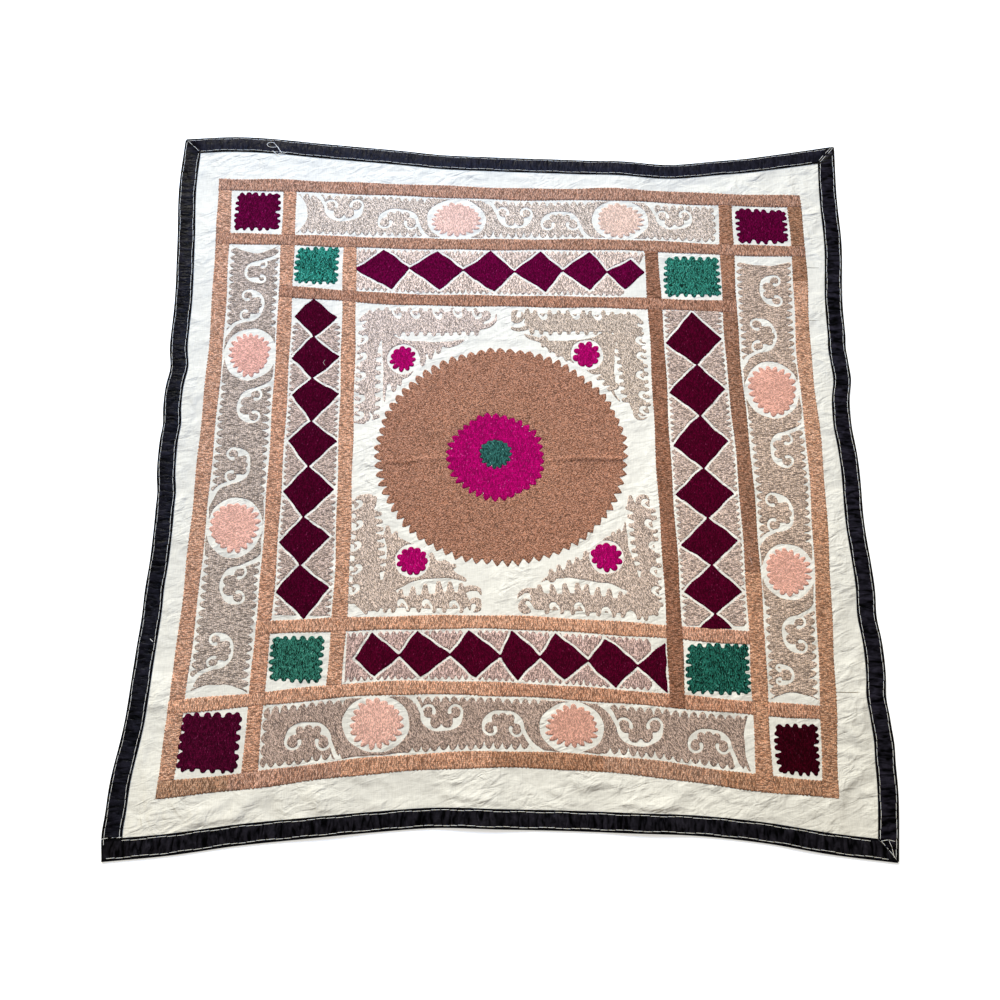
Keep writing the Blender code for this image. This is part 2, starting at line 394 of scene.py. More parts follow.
def yarn_material(name, colour, heading, stitch=0.0036, width=0.0016, tone=0.85, gap=0.60, dye=0.08,
                  fleck=None, shade=None, later=(), upright=False, shine=0.03):
    """Couched embroidery: small stitches side by side, each lighter or darker than the next, with painted
    shade between.

    heading is the way the stitches run, stitch and width are their size, tone is how much they differ, the
    gap shade how dark the painted shade between them is, and dye how much the yarn's colour drifts. A few
    stitches take the lighter colour fleck at their crowns as painted glints, and some are tinted by shade.
    later lists where along the strip another lot of yarn takes over, and its colour.
    """
    tree, place, finish = new_material(
        name, Roughness=0.80, Sheen_Weight=0.0, Sheen_Roughness=0.5, Specular_IOR_Level=shine
    )
    drift = calculate(tree, "MULTIPLY", noise(tree, place, 60.0, 1.0), YARN_DRIFT)
    drift = node(tree, "CombineXYZ", {"X": drift, "Y": drift}).outputs[0]
    shifted = node(tree, "VectorMath", {0: place, 1: drift}, operation="ADD").outputs["Vector"]
    lattice = {"Vector": stretched(tree, shifted, heading, stitch, width), "Scale": 1.0, "Randomness": 1.0}
    cells = node(tree, "TexVoronoi", lattice, voronoi_dimensions="2D")
    parts = node(tree, "SeparateColor", {"Color": cells.outputs["Color"]})
    # plump rises from each stitch's edge to its crown: it raises the bump, darkens the edges as painted shade
    # and places the painted glints
    edge = node(tree, "TexVoronoi", lattice, voronoi_dimensions="2D", feature="DISTANCE_TO_EDGE")
    plump = spread_over(tree, edge.outputs["Distance"], 0.0, 0.34)
    fibre = noise(tree, stretched(tree, place, heading, *FIBRE), 1.0, 2.0)
    patch = noise(tree, place, 14.0, 2.0)
    value = spread_over(tree, parts.outputs[0], 0.25, 0.75, 1.0 - tone / 2, 1.0 + tone / 2)
    # Painted shade: each stitch is darker towards its edges, between it and the next
    value = varied(tree, value, plump, 0.0, 1.0, 1.0 - gap, 1.0 + gap * 0.25)
    value = varied(tree, value, patch, 0.3, 0.7, 1.0 - dye / 2, 1.0 + dye / 2)
    value = varied(tree, value, fibre, 0.3, 0.7, 0.84, 1.16)
    base = flat_colour(tree, colour)
    along = node(tree, "SeparateXYZ", {"Vector": shifted}).outputs["Y" if upright else "X"]
    for start, next_colour in later:
        begun = calculate(tree, "GREATER_THAN", along, start)
        base = mixed_colour(tree, begun, base, flat_colour(tree, next_colour))
    if shade is not None:
        chosen = calculate(tree, "GREATER_THAN", parts.outputs[1], 1.0 - SHADED_SHARE)
        tinted = mixed_colour(tree, 1.0, base, flat_colour(tree, shade), "MULTIPLY")
        base = mixed_colour(tree, chosen, base, tinted)
    # Painted glints: a few stitches take a lighter colour at their crowns
    if fleck is not None:
        seen = calculate(tree, "GREATER_THAN", parts.outputs[2], 1.0 - FLECK_GLINT_SHARE)
        base = mixed_colour(tree, calculate(tree, "MULTIPLY", seen, plump), base, flat_colour(tree, fleck))
    grey = node(tree, "CombineColor", {0: value, 1: value, 2: value}).outputs[0]
    height = calculate(tree, "MULTIPLY_ADD", parts.outputs[0], 0.4, calculate(tree, "MULTIPLY", plump, 0.6))
    height = calculate(tree, "MULTIPLY_ADD", fibre, 0.25, height)
    return finish(mixed_colour(tree, 1.0, base, grey, "MULTIPLY"), bumped(tree, height, 0.9, 0.0008))


# The length and width of the weave's slubs
SLUB = (0.022, 0.0018)


def cotton_material():
    """Plain homespun cotton, a little slubby and crumpled."""
    tree, place, finish = new_material(
        "cotton", Roughness=0.88, Sheen_Weight=0.10, Sheen_Roughness=0.5, Specular_IOR_Level=0.25
    )
    slubs = [noise(tree, stretched(tree, place, turn, *SLUB), 1.0) for turn in (0, 90)]
    weave = calculate(tree, "ADD", *slubs)
    patch = noise(tree, place, 8.0, 2.0, 0.4)
    crumple = noise(tree, place, 24.0, 3.0, 1.3)
    pucker = noise(tree, stretched(tree, place, 20, 0.045, 0.016), 1.0, 2.0, 0.8)
    value = calculate(tree, "MULTIPLY_ADD", weave, 0.36, 0.64)
    value = varied(tree, value, patch, 0.3, 0.7, 0.975, 1.02)
    # Painted shade: the cotton is a little darker in the hollows of the crumples that the bump below dents
    value = varied(tree, value, crumple, 0.35, 0.65, 0.965, 1.015)
    folds = varied(tree, calculate(tree, "MULTIPLY_ADD", pucker, 0.8, crumple), patch, 0.38, 0.60, 0.25, 1.25)
    fine = bumped(tree, weave, 0.5, 0.0004)
    return finish(shaded(tree, (226, 221, 210), value), bumped(tree, folds, 0.85, 0.0062, fine))


def satin_material(name, heading, colour, low, high):
    """Black satin: a tight face that gathers in cross puckers, which run down the heading, between two seams.

    Painted sheen takes its colour from low to high times the given one over the puckers, and in soft
    blotches.
    """
    tree, place, finish = new_material(
        name, Roughness=0.34, Sheen_Weight=0.0, Specular_IOR_Level=0.045,
        Specular_Tint=(0.75, 0.8, 1.0, 1.0),
    )
    threads = noise(tree, stretched(tree, place, 0, 0.010, 0.0005), 1.0, 2.0)
    soft = noise(tree, place, 90.0, 2.0, 0.8)
    puckers = noise(tree, stretched(tree, place, heading, 0.030, 0.0090), 1.0, 3.0, 0.6)
    # Painted sheen and shade: lighter on the puckers and in soft blotches, darker between them
    value = varied(tree, spread_over(tree, puckers, 0.38, 0.64, low, high), soft, 0.3, 0.7, 0.6, 1.4)
    relief = calculate(tree, "MULTIPLY_ADD", puckers, 1.5, calculate(tree, "MULTIPLY", soft, 0.5))
    normal = bumped(tree, relief, 0.8, 0.0030, bumped(tree, threads, 0.3, 0.0002))
    return finish(shaded(tree, colour, value), normal, spread_over(tree, soft, 0.3, 0.7, 0.28, 0.44))


def shaded_satin_rim_material():
    """The satin outside its two seams, which lies tight and turns away from the light: painted shade makes it
    a darker copy of the satin.
    """
    tree, place, finish = new_material("satin_rim_shade", Roughness=0.6, Sheen_Weight=0.0, Specular_IOR_Level=0.02)
    value = spread_over(tree, noise(tree, place, 60.0), 0.3, 0.7, 0.7, 1.3)
    return finish(shaded(tree, (9, 8, 11), value))


def thread_material(name="sewing_thread", colour=(252, 250, 246)):
    """Sewing thread with a fine twist."""
    tree, place, finish = new_material(name, Roughness=0.6, Sheen_Weight=0.15, Specular_IOR_Level=0.35)
    twist = noise(tree, place, 900.0, 1.0)
    value = spread_over(tree, twist, 0.3, 0.7, 0.85, 1.0)
    return finish(shaded(tree, colour, value), bumped(tree, twist, 0.4, 0.0002))


# ---------------------------------------------------------------- meshes


def mesh_object(name, points, faces, materials):
    mesh = bpy.data.meshes.new(name)
    mesh.from_pydata([tuple(p) for p in points], [], [tuple(f) for f in faces])
    for material in materials:
        mesh.materials.append(material)
    mesh.shade_smooth()
    made = bpy.data.objects.new(name, mesh)
    bpy.context.scene.collection.objects.link(made)
    return made


def in_part(x, y, z):
    """Places on the floor, and heights, as points in the part's frame."""
    return np.stack([np.ravel(x) - CENTRE[0], np.ravel(y) - CENTRE[1], np.ravel(z)], axis=1)


def grid_points_object(name, x, y, z, materials):
    """A sheet through a grid of points, given as three arrays of the same two-way shape."""
    columns, rows = x.shape
    number = np.arange(columns * rows).reshape(columns, rows)
    corners = (number[:-1, :-1], number[1:, :-1], number[1:, 1:], number[:-1, 1:])
    faces = np.stack([c.ravel() for c in corners], axis=1)
    return mesh_object(name, in_part(x, y, z).tolist(), faces.tolist(), materials)


def add_thickness(made, thickness, offset):
    solid = made.modifiers.new("thickness", "SOLIDIFY")
    solid.thickness = thickness
    solid.offset = offset
    solid.use_even_offset = True


# Each case of which corners of a cell lie inside a shape, as a sum of 1, 2, 4 and 8 counterclockwise from
# the lowest, and the faces it makes: 0 to 3 are the corners, and 4 to 7 the middles of the sides after them
CELL_FACES = {
    1: ((0, 4, 7),),
    2: ((1, 5, 4),),
    3: ((0, 1, 5, 7),),
    4: ((2, 6, 5),),
    5: ((0, 4, 7), (2, 6, 5)),
    6: ((1, 2, 6, 4),),
    7: ((0, 1, 2, 6, 7),),
    8: ((3, 7, 6),),
    9: ((0, 4, 6, 3),),
    10: ((1, 5, 4), (3, 7, 6)),
    11: ((0, 1, 5, 6, 3),),
    12: ((2, 3, 7, 5),),
    13: ((0, 4, 5, 2, 3),),
    14: ((1, 2, 3, 7, 4),),
    15: ((0, 1, 2, 3),),
}
# Depths nearer to 0 than this are moved away from it, so that no two points fall together
CLEAR = 1e-7


def traced(depth, low, step):
    """The faces of the region where depth, sampled on a square grid, is positive.

    Gives the points' x and y, how deep each lies, and the faces as lists of point numbers.
    """
    depth = np.where(np.abs(depth) < CLEAR, CLEAR, depth)
    columns, rows = depth.shape
    inside = depth > 0
    column, row = np.meshgrid(np.arange(columns), np.arange(rows), indexing="ij")
    cut_x = inside[:-1, :] != inside[1:, :]
    cut_y = inside[:, :-1] != inside[:, 1:]
    share_x = depth[:-1, :] / (depth[:-1, :] - depth[1:, :] + (depth[:-1, :] == depth[1:, :]))
    share_y = depth[:, :-1] / (depth[:, :-1] - depth[:, 1:] + (depth[:, :-1] == depth[:, 1:]))
    place_x = np.concatenate([column[inside], (column[:-1, :] + share_x)[cut_x], column[:, :-1][cut_y]])
    place_y = np.concatenate([row[inside], row[:-1, :][cut_x], (row[:, :-1] + share_y)[cut_y]])
    deep = np.concatenate([depth[inside], np.zeros(cut_x.sum() + cut_y.sum())])
    number = np.zeros(depth.shape, int)
    number[inside] = np.arange(inside.sum())
    number_x = np.zeros(cut_x.shape, int)
    number_x[cut_x] = inside.sum() + np.arange(cut_x.sum())
    number_y = np.zeros(cut_y.shape, int)
    number_y[cut_y] = inside.sum() + cut_x.sum() + np.arange(cut_y.sum())
    labels = np.stack([
        number[:-1, :-1], number[1:, :-1], number[1:, 1:], number[:-1, 1:],
        number_x[:, :-1], number_y[1:, :], number_x[:, 1:], number_y[:-1, :],
    ])
    case = inside[:-1, :-1] + 2 * inside[1:, :-1] + 4 * inside[1:, 1:] + 8 * inside[:-1, 1:]
    faces = []
    for kind, shapes in CELL_FACES.items():
        chosen = case == kind
        for shape in shapes:
            faces.extend(np.stack([labels[k][chosen] for k in shape], axis=1).tolist())
    return low[0] + place_x * step, low[1] + place_y * step, deep, faces


# How deep the rim of a patch sinks into the cotton, and how far in from it the patch has its full height
RIM_SINK = 0.0003
EDGE_ROUND = 0.0019

embroidered = []


def embroider(name, depth_at, box, material, step=0.0023, plump=0.0018, swell=None, kind_at=None):
    """Raised embroidery where depth_at is positive, in a box given by its low and its high corner.

    material is one yarn, or a list of them where kind_at(x, y) picks each face's. plump is how far it stands
    proud of the cotton, and swell(x, y) changes that from place to place.
    """
    low, high = box
    columns = int((high[0] - low[0]) / step) + 2
    rows = int((high[1] - low[1]) / step) + 2
    x, y = np.meshgrid(low[0] + step * np.arange(columns), low[1] + step * np.arange(rows), indexing="ij")
    depth = depth_at(x, y)
    slope_x, slope_y = np.gradient(depth, step)
    depth = depth / np.clip(np.hypot(slope_x, slope_y), 0.7, 2.5)
    depth[[0, -1], :] = np.minimum(depth[[0, -1], :], -step)
    depth[:, [0, -1]] = np.minimum(depth[:, [0, -1]], -step)
    px, py, deep, faces = traced(depth, low, step)
    roundness = np.sqrt(1 - (1 - np.clip(deep / EDGE_ROUND, 0, 1)) ** 2)
    tall = plump * (swell(px, py) if swell else 1.0)
    pz = cloth_top(px, py) - RIM_SINK + (tall + RIM_SINK) * roundness
    materials = material if kind_at else [material]
    made = mesh_object(name, in_part(px, py, pz).tolist(), faces, materials)
    if kind_at:
        first = np.array([f[0] for f in faces])
        made.data.polygons.foreach_set("material_index", kind_at(px[first], py[first]).astype(np.int32))
    embroidered.append(made)


# ---------------------------------------------------------------- depths of plain shapes, in metres


def fingers(place, roundness=1.0, peak=0.5):
    """From 1 at the tip of each finger to 0 in the notch between it and the next; one for each unit.

    peak is where in its unit each tip lies.
    """
    part = place - np.floor(place)
    t = np.where(part < peak, 1 - part / peak, (part - peak) / (1 - peak))
    return roundness * np.sqrt(1 - t**2) + (1 - roundness) * (1 - t)


def uneven(place, seed, spread=0.18):
    """A fixed odd share for each unit of place, so that no two fingers are quite alike."""
    return 1 + spread * np.sin(np.floor(place) * 12.9898 + seed * 4.1414)


def wobble(x, y, size=0.0011):
    """Small slow shifts that make a shape look drawn by hand."""
    shift_x = size * (np.sin(y * 67.0 + 1.3) + 0.7 * np.sin(y * 151.0 + x * 40.0))
    shift_y = size * (np.sin(x * 71.0 + 0.4) + 0.7 * np.sin(x * 143.0 - y * 37.0))
    return x + shift_x, y + shift_y


def segment_distance(x, y, start, end):
    """How far a point is from a straight segment, and how far along it the nearest point lies."""
    run_x, run_y = end[0] - start[0], end[1] - start[1]
    share = ((x - start[0]) * run_x + (y - start[1]) * run_y) / max(run_x**2 + run_y**2, 1e-12)
    share = np.clip(share, 0, 1)
    return np.hypot(x - start[0] - share * run_x, y - start[1] - share * run_y), share


def polygon_depth(x, y, corners):
    """Depth inside a polygon: positive inside, negative outside."""
    inside = np.zeros(x.shape, bool)
    nearest = np.full(x.shape, 9.0)
    for start, end in zip(corners, (*corners[1:], corners[0])):
        nearest = np.minimum(nearest, segment_distance(x, y, start, end)[0])
        if start[1] != end[1]:
            hit = start[0] + (y - start[1]) * (end[0] - start[0]) / (end[1] - start[1])
            inside ^= ((start[1] > y) != (end[1] > y)) & (x < hit)
    return np.where(inside, nearest, -nearest)


# How far round a line its depth is worked out
LINE_MARGIN = 0.012


def line_depth(x, y, points, half_widths):
    """Depth inside a line drawn through the points, with a half width at each of them."""
    points = np.asarray(points, float)
    reach = max(half_widths) + LINE_MARGIN
    low, high = points.min(axis=0) - reach, points.max(axis=0) + reach
    near = (x > low[0]) & (x < high[0]) & (y > low[1]) & (y < high[1])
    near_x, near_y = x[near], y[near]
    found = np.full(near_x.shape, -reach)
    for k in range(len(points) - 1):
        distance, share = segment_distance(near_x, near_y, points[k], points[k + 1])
        width = half_widths[k] * (1 - share) + half_widths[k + 1] * share
        found = np.maximum(found, width - distance)
    depth = np.full(x.shape, -reach)
    depth[near] = found
    return depth


def curve_through(points, steps=6):
    """A smooth line through the points, with that many steps between each two."""
    points = np.asarray(points, float)
    share = np.linspace(0, 1, (len(points) - 1) * steps + 1)
    return np.stack([smooth_between(points[:, 0], share), smooth_between(points[:, 1], share)], axis=1)


# ---------------------------------------------------------------- the tan strips

# How far the stations along the strips reach to both sides, across and up
STATION_REACH_X = 0.80
STATION_REACH_Y = 0.84
# Each strip's middle line at seven even stations from end to end, in millimetres, and its half width
STRIPS_ACROSS = {
    "H1": ((714, 711, 704, 696, 697, 686, 687), 17.0),
    "H2": ((566, 563, 557, 557, 560, 550, 548), 15.0),
    "H3": ((430, 425, 409, 407, 406, 400, 397), 15.0),
    "H4": ((-384, -374, -361, -355, -366, -382, -392), 15.0),
    "H5": ((-555, -527, -499, -497, -510, -529, -542), 14.5),
    "H6": ((-722, -691, -656, -640, -650, -680, -698), 17.0),
}
STRIPS_UP = {
    "V1": ((-693, -683, -676, -676, -677, -687, -700), 17.0),
    "V2": ((-519, -517, -513, -516, -521, -530, -538), 16.5),
    "V3": ((-370, -358, -352, -360, -369, -380, -388), 16.5),
    "V4": ((366, 367, 364, 355, 350, 342, 338), 17.0),
    "V5": ((538, 540, 541, 536, 524, 524, 528), 17.0),
    "V6": ((664, 680, 690, 696, 689, 695, 688), 17.0),
}
# Which strips each one runs between
STRIP_ENDS = {
    "H1": ("V1", "V6"), "H2": ("V1", "V6"), "H3": ("V2", "V5"),
    "H4": ("V2", "V5"), "H5": ("V1", "V6"), "H6": ("V1", "V6"),
    "V1": ("H6", "H1"), "V2": ("H6", "H1"), "V3": ("H5", "H2"),
    "V4": ("H5", "H2"), "V5": ("H6", "H1"), "V6": ("H6", "H1"),
}
# How far one strip runs in under another, and where the strips that run up lie over the others
TUCK_UNDER = 0.0012
UP_OVER_FROM_X, UP_OVER_TO_Y = 0.30, -0.28


def strip_middle(name, at):
    """Where a strip's middle line lies: y at an x for the strips across, and x at a y for those up."""
    table, reach = (STRIPS_ACROSS, STATION_REACH_X) if name in STRIPS_ACROSS else (STRIPS_UP, STATION_REACH_Y)
    return smooth_between(table[name][0], (at / reach + 1) / 2) / 1000


def strip_half(name):
    return (STRIPS_ACROSS.get(name) or STRIPS_UP[name])[1] / 1000


def between_strips(names, at, margin=0.0):
    """Where the space between two strips starts and ends beside them, a margin in from both."""
    low, high = names
    low_edge = strip_middle(low, at) + strip_half(low)
    high_edge = strip_middle(high, at) - strip_half(high)
    return low_edge + margin, high_edge - margin


def ragged(at, seed):
    """The small steps that stitch ends make in an edge."""
    return 0.0006 * np.sin(at * 733.0 + seed) + 0.0005 * np.sin(at * 1571.0 + seed * 2.3)


def one_strip_depth(x, y, name):
    across = name in STRIPS_ACROSS
    at, beside = (x, y) if across else (y, x)
    seed = sum(ord(letter) * (k + 1) for k, letter in enumerate(name))
    off = beside - strip_middle(name, at)
    half = strip_half(name) + 0.0009 * np.sin(at * 31.0 + seed)
    depth = np.minimum(half + ragged(at, seed) - off, half + ragged(at, seed + 5) + off)
    first, last = STRIP_ENDS[name]
    start = strip_middle(first, beside) - strip_half(first) + ragged(beside, seed)
    stop = strip_middle(last, beside) + strip_half(last) + ragged(beside, seed + 1)
    return np.minimum(depth, np.minimum(at - start, stop - at))


def strips_depth(x, y, names):
    return np.max([one_strip_depth(x, y, name) for name in names], axis=0)


def up_is_over(x, y):
    """True at the near right crossings, where the strips that run up are worked over the ones across."""
    return (x > UP_OVER_FROM_X) & (y < UP_OVER_TO_Y)


def across_depth(x, y):
    across, up = strips_depth(x, y, STRIPS_ACROSS), strips_depth(x, y, STRIPS_UP)
    return np.where(up_is_over(x, y), np.minimum(across, TUCK_UNDER - up), across)


def up_depth(x, y):
    across, up = strips_depth(x, y, STRIPS_ACROSS), strips_depth(x, y, STRIPS_UP)
    return np.where(up_is_over(x, y), up, np.minimum(up, TUCK_UNDER - across))


def nearest_strip(names):
    """Picks each face's material: the number of the strip that it belongs to."""
    return lambda x, y: np.argmax([one_strip_depth(x, y, name) for name in names], axis=0)


# ---------------------------------------------------------------- squares, rosettes and the medallion


def finger_depth(x, y, tip, heading, length, half_width, base_half):
    """Depth inside a rounded finger: where its tip is, the way it points in degrees, and its size.

    half_width is at the tip, and base_half at its root, where it meets the next finger in a notch.
    """
    along = np.array(direction(heading))
    return line_depth(x, y, (tip - along * length, tip - along * half_width), (base_half, half_width))


# The sides of the cloth or of a square that run up
UPRIGHT = ("left", "right")
# The way out from each side, in degrees
SIDE_HEADINGS = {"right": 0, "top": 90, "left": 180, "bottom": 270}
# The fingers of a square: their length, how much the last ones lean outward and are drawn in, how far each
# strays, and their half widths at the tip and the root as shares of their pitch
SQUARE_FINGER = 0.0116
FINGER_LEAN_DEG = 42
CORNER_PULL = 0.0044
SQUARE_STRAY = 0.0018
TIP_SHARES = {"right": 0.32, "top": 0.34, "left": 0.32, "bottom": 0.26}
ROOT_SHARE = 0.59


def square_fingers(size, count, depth, seed):
    """Each finger round a block from its own middle: tip, heading in degrees, length and half widths."""
    half_x, half_y = size[0] / 2, size[1] / 2
    for side, heading in SIDE_HEADINGS.items():
        if side in UPRIGHT:
            half_along, half_out, number = half_y, half_x, count[1]
        else:
            half_along, half_out, number = half_x, half_y, count[0]
        outward = np.array(direction(heading))
        beside = np.array((outward[1], -outward[0]))
        pitch = 2 * half_along / number
        for k in range(number):
            odd = math.sin(k * 12.9898 + seed + heading)
            share = 2 * (k + 0.5) / number - 1
            reach = half_out + SQUARE_STRAY * odd - CORNER_PULL * abs(share) ** 3
            tip = outward * reach + beside * (share * (half_along - 0.002) + SQUARE_STRAY * odd)
            lean = heading - FINGER_LEAN_DEG * share**3 + 7 * math.sin(k * 3.3 + seed * 2)
            width = pitch * (TIP_SHARES[side] + 0.05 * math.sin(k * 7.7 + seed))
            yield tip, lean, depth + 0.005, width, pitch * ROOT_SHARE


def fingered_square(centre, size, count, seed=0.0):
    """A block with rounded fingers all round: count is how many along the top and how many up the side."""
    inner_x, inner_y = size[0] / 2 - SQUARE_FINGER, size[1] / 2 - 0.8 * SQUARE_FINGER
    all_fingers = list(square_fingers(size, count, SQUARE_FINGER, seed))

    def depth_at(x, y):
        x, y = wobble(x - centre[0], y - centre[1], 0.0007)
        found = np.minimum(inner_x - np.abs(x), inner_y - np.abs(y))
        for finger in all_fingers:
            found = np.maximum(found, finger_depth(x, y, *finger))
        return found

    return depth_at


def fingered_ellipse(centre, radii, count, depth, roundness, turn=0.0, seed=0.0, spread=0.15, lean=0.0,
                     stray=0.0):
    """A round shape with fingers all round it.

    depth and roundness are numbers, or functions of the angle. lean shifts the tips so that the fingers
    point more up and down than outward, and stray moves each finger's own tip in or out.
    """

    def depth_at(x, y):
        x, y = wobble(x - centre[0], y - centre[1], 0.0008)
        ring = np.hypot(x / radii[0], y / radii[1])
        angle = np.arctan2(y / radii[1], x / radii[0])
        place = (angle / (2 * math.pi) + 0.5) * count + turn
        mean = (radii[0] + radii[1]) / 2
        blunt = roundness(angle) if callable(roundness) else roundness
        shape = fingers(place, blunt, 0.5 + lean * np.sin(2 * angle))
        notch = depth(angle) if callable(depth) else depth
        reach = 1 - notch / mean * uneven(place, seed, spread) * (1 - shape)
        reach = reach + stray / mean * np.sin(np.floor(place) * 7.31 + seed) * shape
        return (reach - ring) * mean

    return depth_at


def plain_ellipse(centre, radii):
    mean = (radii[0] + radii[1]) / 2
    return lambda x, y: (1 - np.hypot((x - centre[0]) / radii[0], (y - centre[1]) / radii[1])) * mean


def box_round(centre, size, margin=0.008):
    """The low and high corners of a box that leaves a margin round a shape."""
    half_x, half_y = size[0] / 2 + margin, size[1] / 2 + margin
    return (centre[0] - half_x, centre[1] - half_y), (centre[0] + half_x, centre[1] + half_y)


# The medallion's three rounds: centre, half sizes and number of fingers
MEDALLION = ((-0.010, 0.026), (0.287, 0.260), 75)
MAGENTA = ((-0.022, 0.019), (0.113, 0.105), 34)
EYE = ((-0.022, 0.025), (0.038, 0.037), 15)
# How far one round of embroidery runs in under the next
LAP = 0.0014

# Name, centre and size in millimetres, and how many fingers along the top and up the side
BURGUNDY_SQUARES = (
    ("square_top_left", (-610, 639), (114, 105), (6, 6)),
    ("square_top_right", (610, 616), (126, 96), (6, 6)),
    ("square_bottom_left", (-606, -615), (131, 125), (6, 6)),
    ("square_bottom_right", (612, -611), (93, 107), (5, 7)),
)
GREEN_SQUARES = (
    ("green_top_left", (-455, 494), (108, 102), (6, 6)),
    ("green_top_right", (438, 476), (138, 109), (7, 6)),
    ("green_bottom_left", (-437, -440), (116, 102), (6, 6)),
    ("green_bottom_right", (456, -449), (138, 111), (7, 7)),
)
# Name, centre and size in millimetres
PEACH_ROSETTES = (
    ("peach_left_far", (-598, 263), (98, 113)),
    ("peach_left_near", (-594, -152), (113, 116)),
    ("peach_top_left", (-127, 622), (124, 95)),
    ("peach_top_right", (270, 626), (116, 94)),
    ("peach_right_far", (610, 190), (113, 126)),
    ("peach_right_near", (618, -236), (102, 107)),
    ("peach_bottom_left", (-263, -572), (115, 106)),
    ("peach_bottom_right", (145, -572), (112, 90)),
)
PEACH_FINGERS = 19
# The small rosette at each corner of the field: centre and radius in millimetres, and number of fingers
SMALL_ROSETTES = {
    "top_left": ((-240, 255), 32, 11),
    "top_right": ((186, 272), 33, 9),
    "bottom_left": ((-201, -223), 34, 11),
    "bottom_right": ((223, -209), 35, 10),
}


def mm(values):
    """Millimetres as metres."""
    return tuple(v / 1000 for v in values)


# ---------------------------------------------------------------- the rows of diamonds

# Each row in millimetres: joints are the corners that neighbours share, low and high the outer corners on
# each side, span where its triangles start and stop, slant how much their last edge leans, and sides the
# strips that the row lies between
DIAMOND_ROWS = {
    "left": {
        "joints": (
            (-458, 407), (-452, 309), (-447, 204), (-442, 100), (-442, -9), (-446, -127), (-446, -235),
            (-429, -351),
        ),
        "low": ((-498, 361), (-499, 254), (-492, 161), (-492, 50), (-493, -68), (-492, -185), (-493, -297)),
        "high": ((-399, 359), (-390, 258), (-385, 166), (-384, 50), (-382, -64), (-384, -172), (-379, -286)),
        "span": (-347, 345), "sides": ("V2", "V3"),
    },
    "right": {
        "joints": ((434, 383), (438, 250), (441, 125), (444, -1), (448, -117), (451, -223), (453, -329)),
        "low": ((370, 305), (374, 181), (377, 53), (379, -63), (389, -180), (390, -284)),
        "high": ((498, 316), (501, 190), (500, 63), (507, -62), (512, -169), (515, -282)),
        "span": (-357, 388), "sides": ("V4", "V5"),
    },
    "top": {
        "joints": ((-363, 488), (-234, 491), (-106, 486), (15, 486), (130, 489), (236, 486), (324, 486)),
        "low": ((-277, 435), (-162, 436), (-32, 431), (89, 434), (193, 440), (278, 443)),
        "high": ((-298, 538), (-170, 537), (-44, 538), (77, 538), (194, 541), (292, 521)),
        "span": (-361, 330), "slant": 0.5, "sides": ("H3", "H2"),
    },
    "bottom": {
        "joints": (
            (-314, -436), (-221, -429), (-113, -427), (-7, -427), (78, -428), (180, -435), (286, -442),
        ),
        "low": ((-271, -473), (-174, -473), (-56, -472), (32, -477), (132, -475), (237, -490)),
        "high": ((-280, -383), (-183, -377), (-73, -373), (19, -373), (112, -378), (217, -388)),
        "span": (-334, 315), "sides": ("H5", "H4"),
    },
}
# The cut-off diamonds at the near end of the right row and at the right end of the bottom row
PART_DIAMONDS = {
    "right": (((453, -329), (490, -361), (422, -364)),),
    "bottom": (((286, -442), (344, -396), (346, -500)),),
}
# The bare line round the diamonds, and the pitch, depth and margin of the triangles' fingers
OUTLINE_WIDTH = 0.0040
TRIANGLE_PITCH, TRIANGLE_NOTCH, TRIANGLE_MARGIN = 0.0142, 0.0112, 0.0020


def diamonds_depth(row):
    spec = DIAMOND_ROWS[row]
    joints = spec["joints"]
    whole = zip(joints[:-1], spec["high"], joints[1:], spec["low"])
    shapes = [[mm(corner) for corner in corners] for corners in (*whole, *PART_DIAMONDS.get(row, ()))]

    def depth_at(x, y):
        x, y = wobble(x, y, 0.0011)
        depth = np.max([polygon_depth(x, y, corners) for corners in shapes], axis=0)
        return depth + 0.0014 + ragged(x + y, 3.0) * 0.6

    return depth_at


def triangles_depth(row):
    """The taupe triangles that fill a row beside its diamonds, with small fingers on the strip's side."""
    spec = DIAMOND_ROWS[row]
    diamonds = diamonds_depth(row)
    first, last = mm(spec["span"])

    def depth_at(x, y):
        at, beside = (y, x) if row in UPRIGHT else (x, y)
        low, high = between_strips(spec["sides"], at, TRIANGLE_MARGIN)
        place = at / TRIANGLE_PITCH
        tooth = TRIANGLE_NOTCH * (1 - fingers(place, 0.8)) * uneven(place, 1.0, 0.3)
        depth = np.minimum(beside - low - tooth, high - beside - tooth)
        depth = np.minimum(depth, np.minimum(at - first, last - at - spec.get("slant", 0) * (high - beside)))
        return np.minimum(depth, -diamonds(x, y) - OUTLINE_WIDTH)

    return depth_at


# ---------------------------------------------------------------- the scroll panels

# Half widths of a scroll's bare lines: at the bowl, in its hooks, and from first to last along its tail
LINE_HALF, HOOK_HALF, TAIL_HALVES = 0.0038, 0.0023, (0.0034, 0.0050)
# A curl's radius as a share of the scroll's half length, how square its bowl is, the radius of its lobes as a
# share of its half width, by how many there are, and how far the lobes stay in from the bowl
CURL_SHARE, BOWL_POWER, LOBE_SHARES, LOBE_INSET = 0.40, 2.3, {2: 0.37, 3: 0.30}, 0.0045


def curl_line(centre, radius, start, turn, shrink, steps=14):
    """A spiral hook: from an angle round a centre, in degrees, turning by so much and drawing in."""
    share = np.linspace(0, 1, steps)
    angle = np.radians(start + turn * share)
    size = radius * (1 - (1 - shrink) * share)
    return np.stack([centre[0] + size * np.cos(angle), centre[1] + size * np.sin(angle)], axis=1)


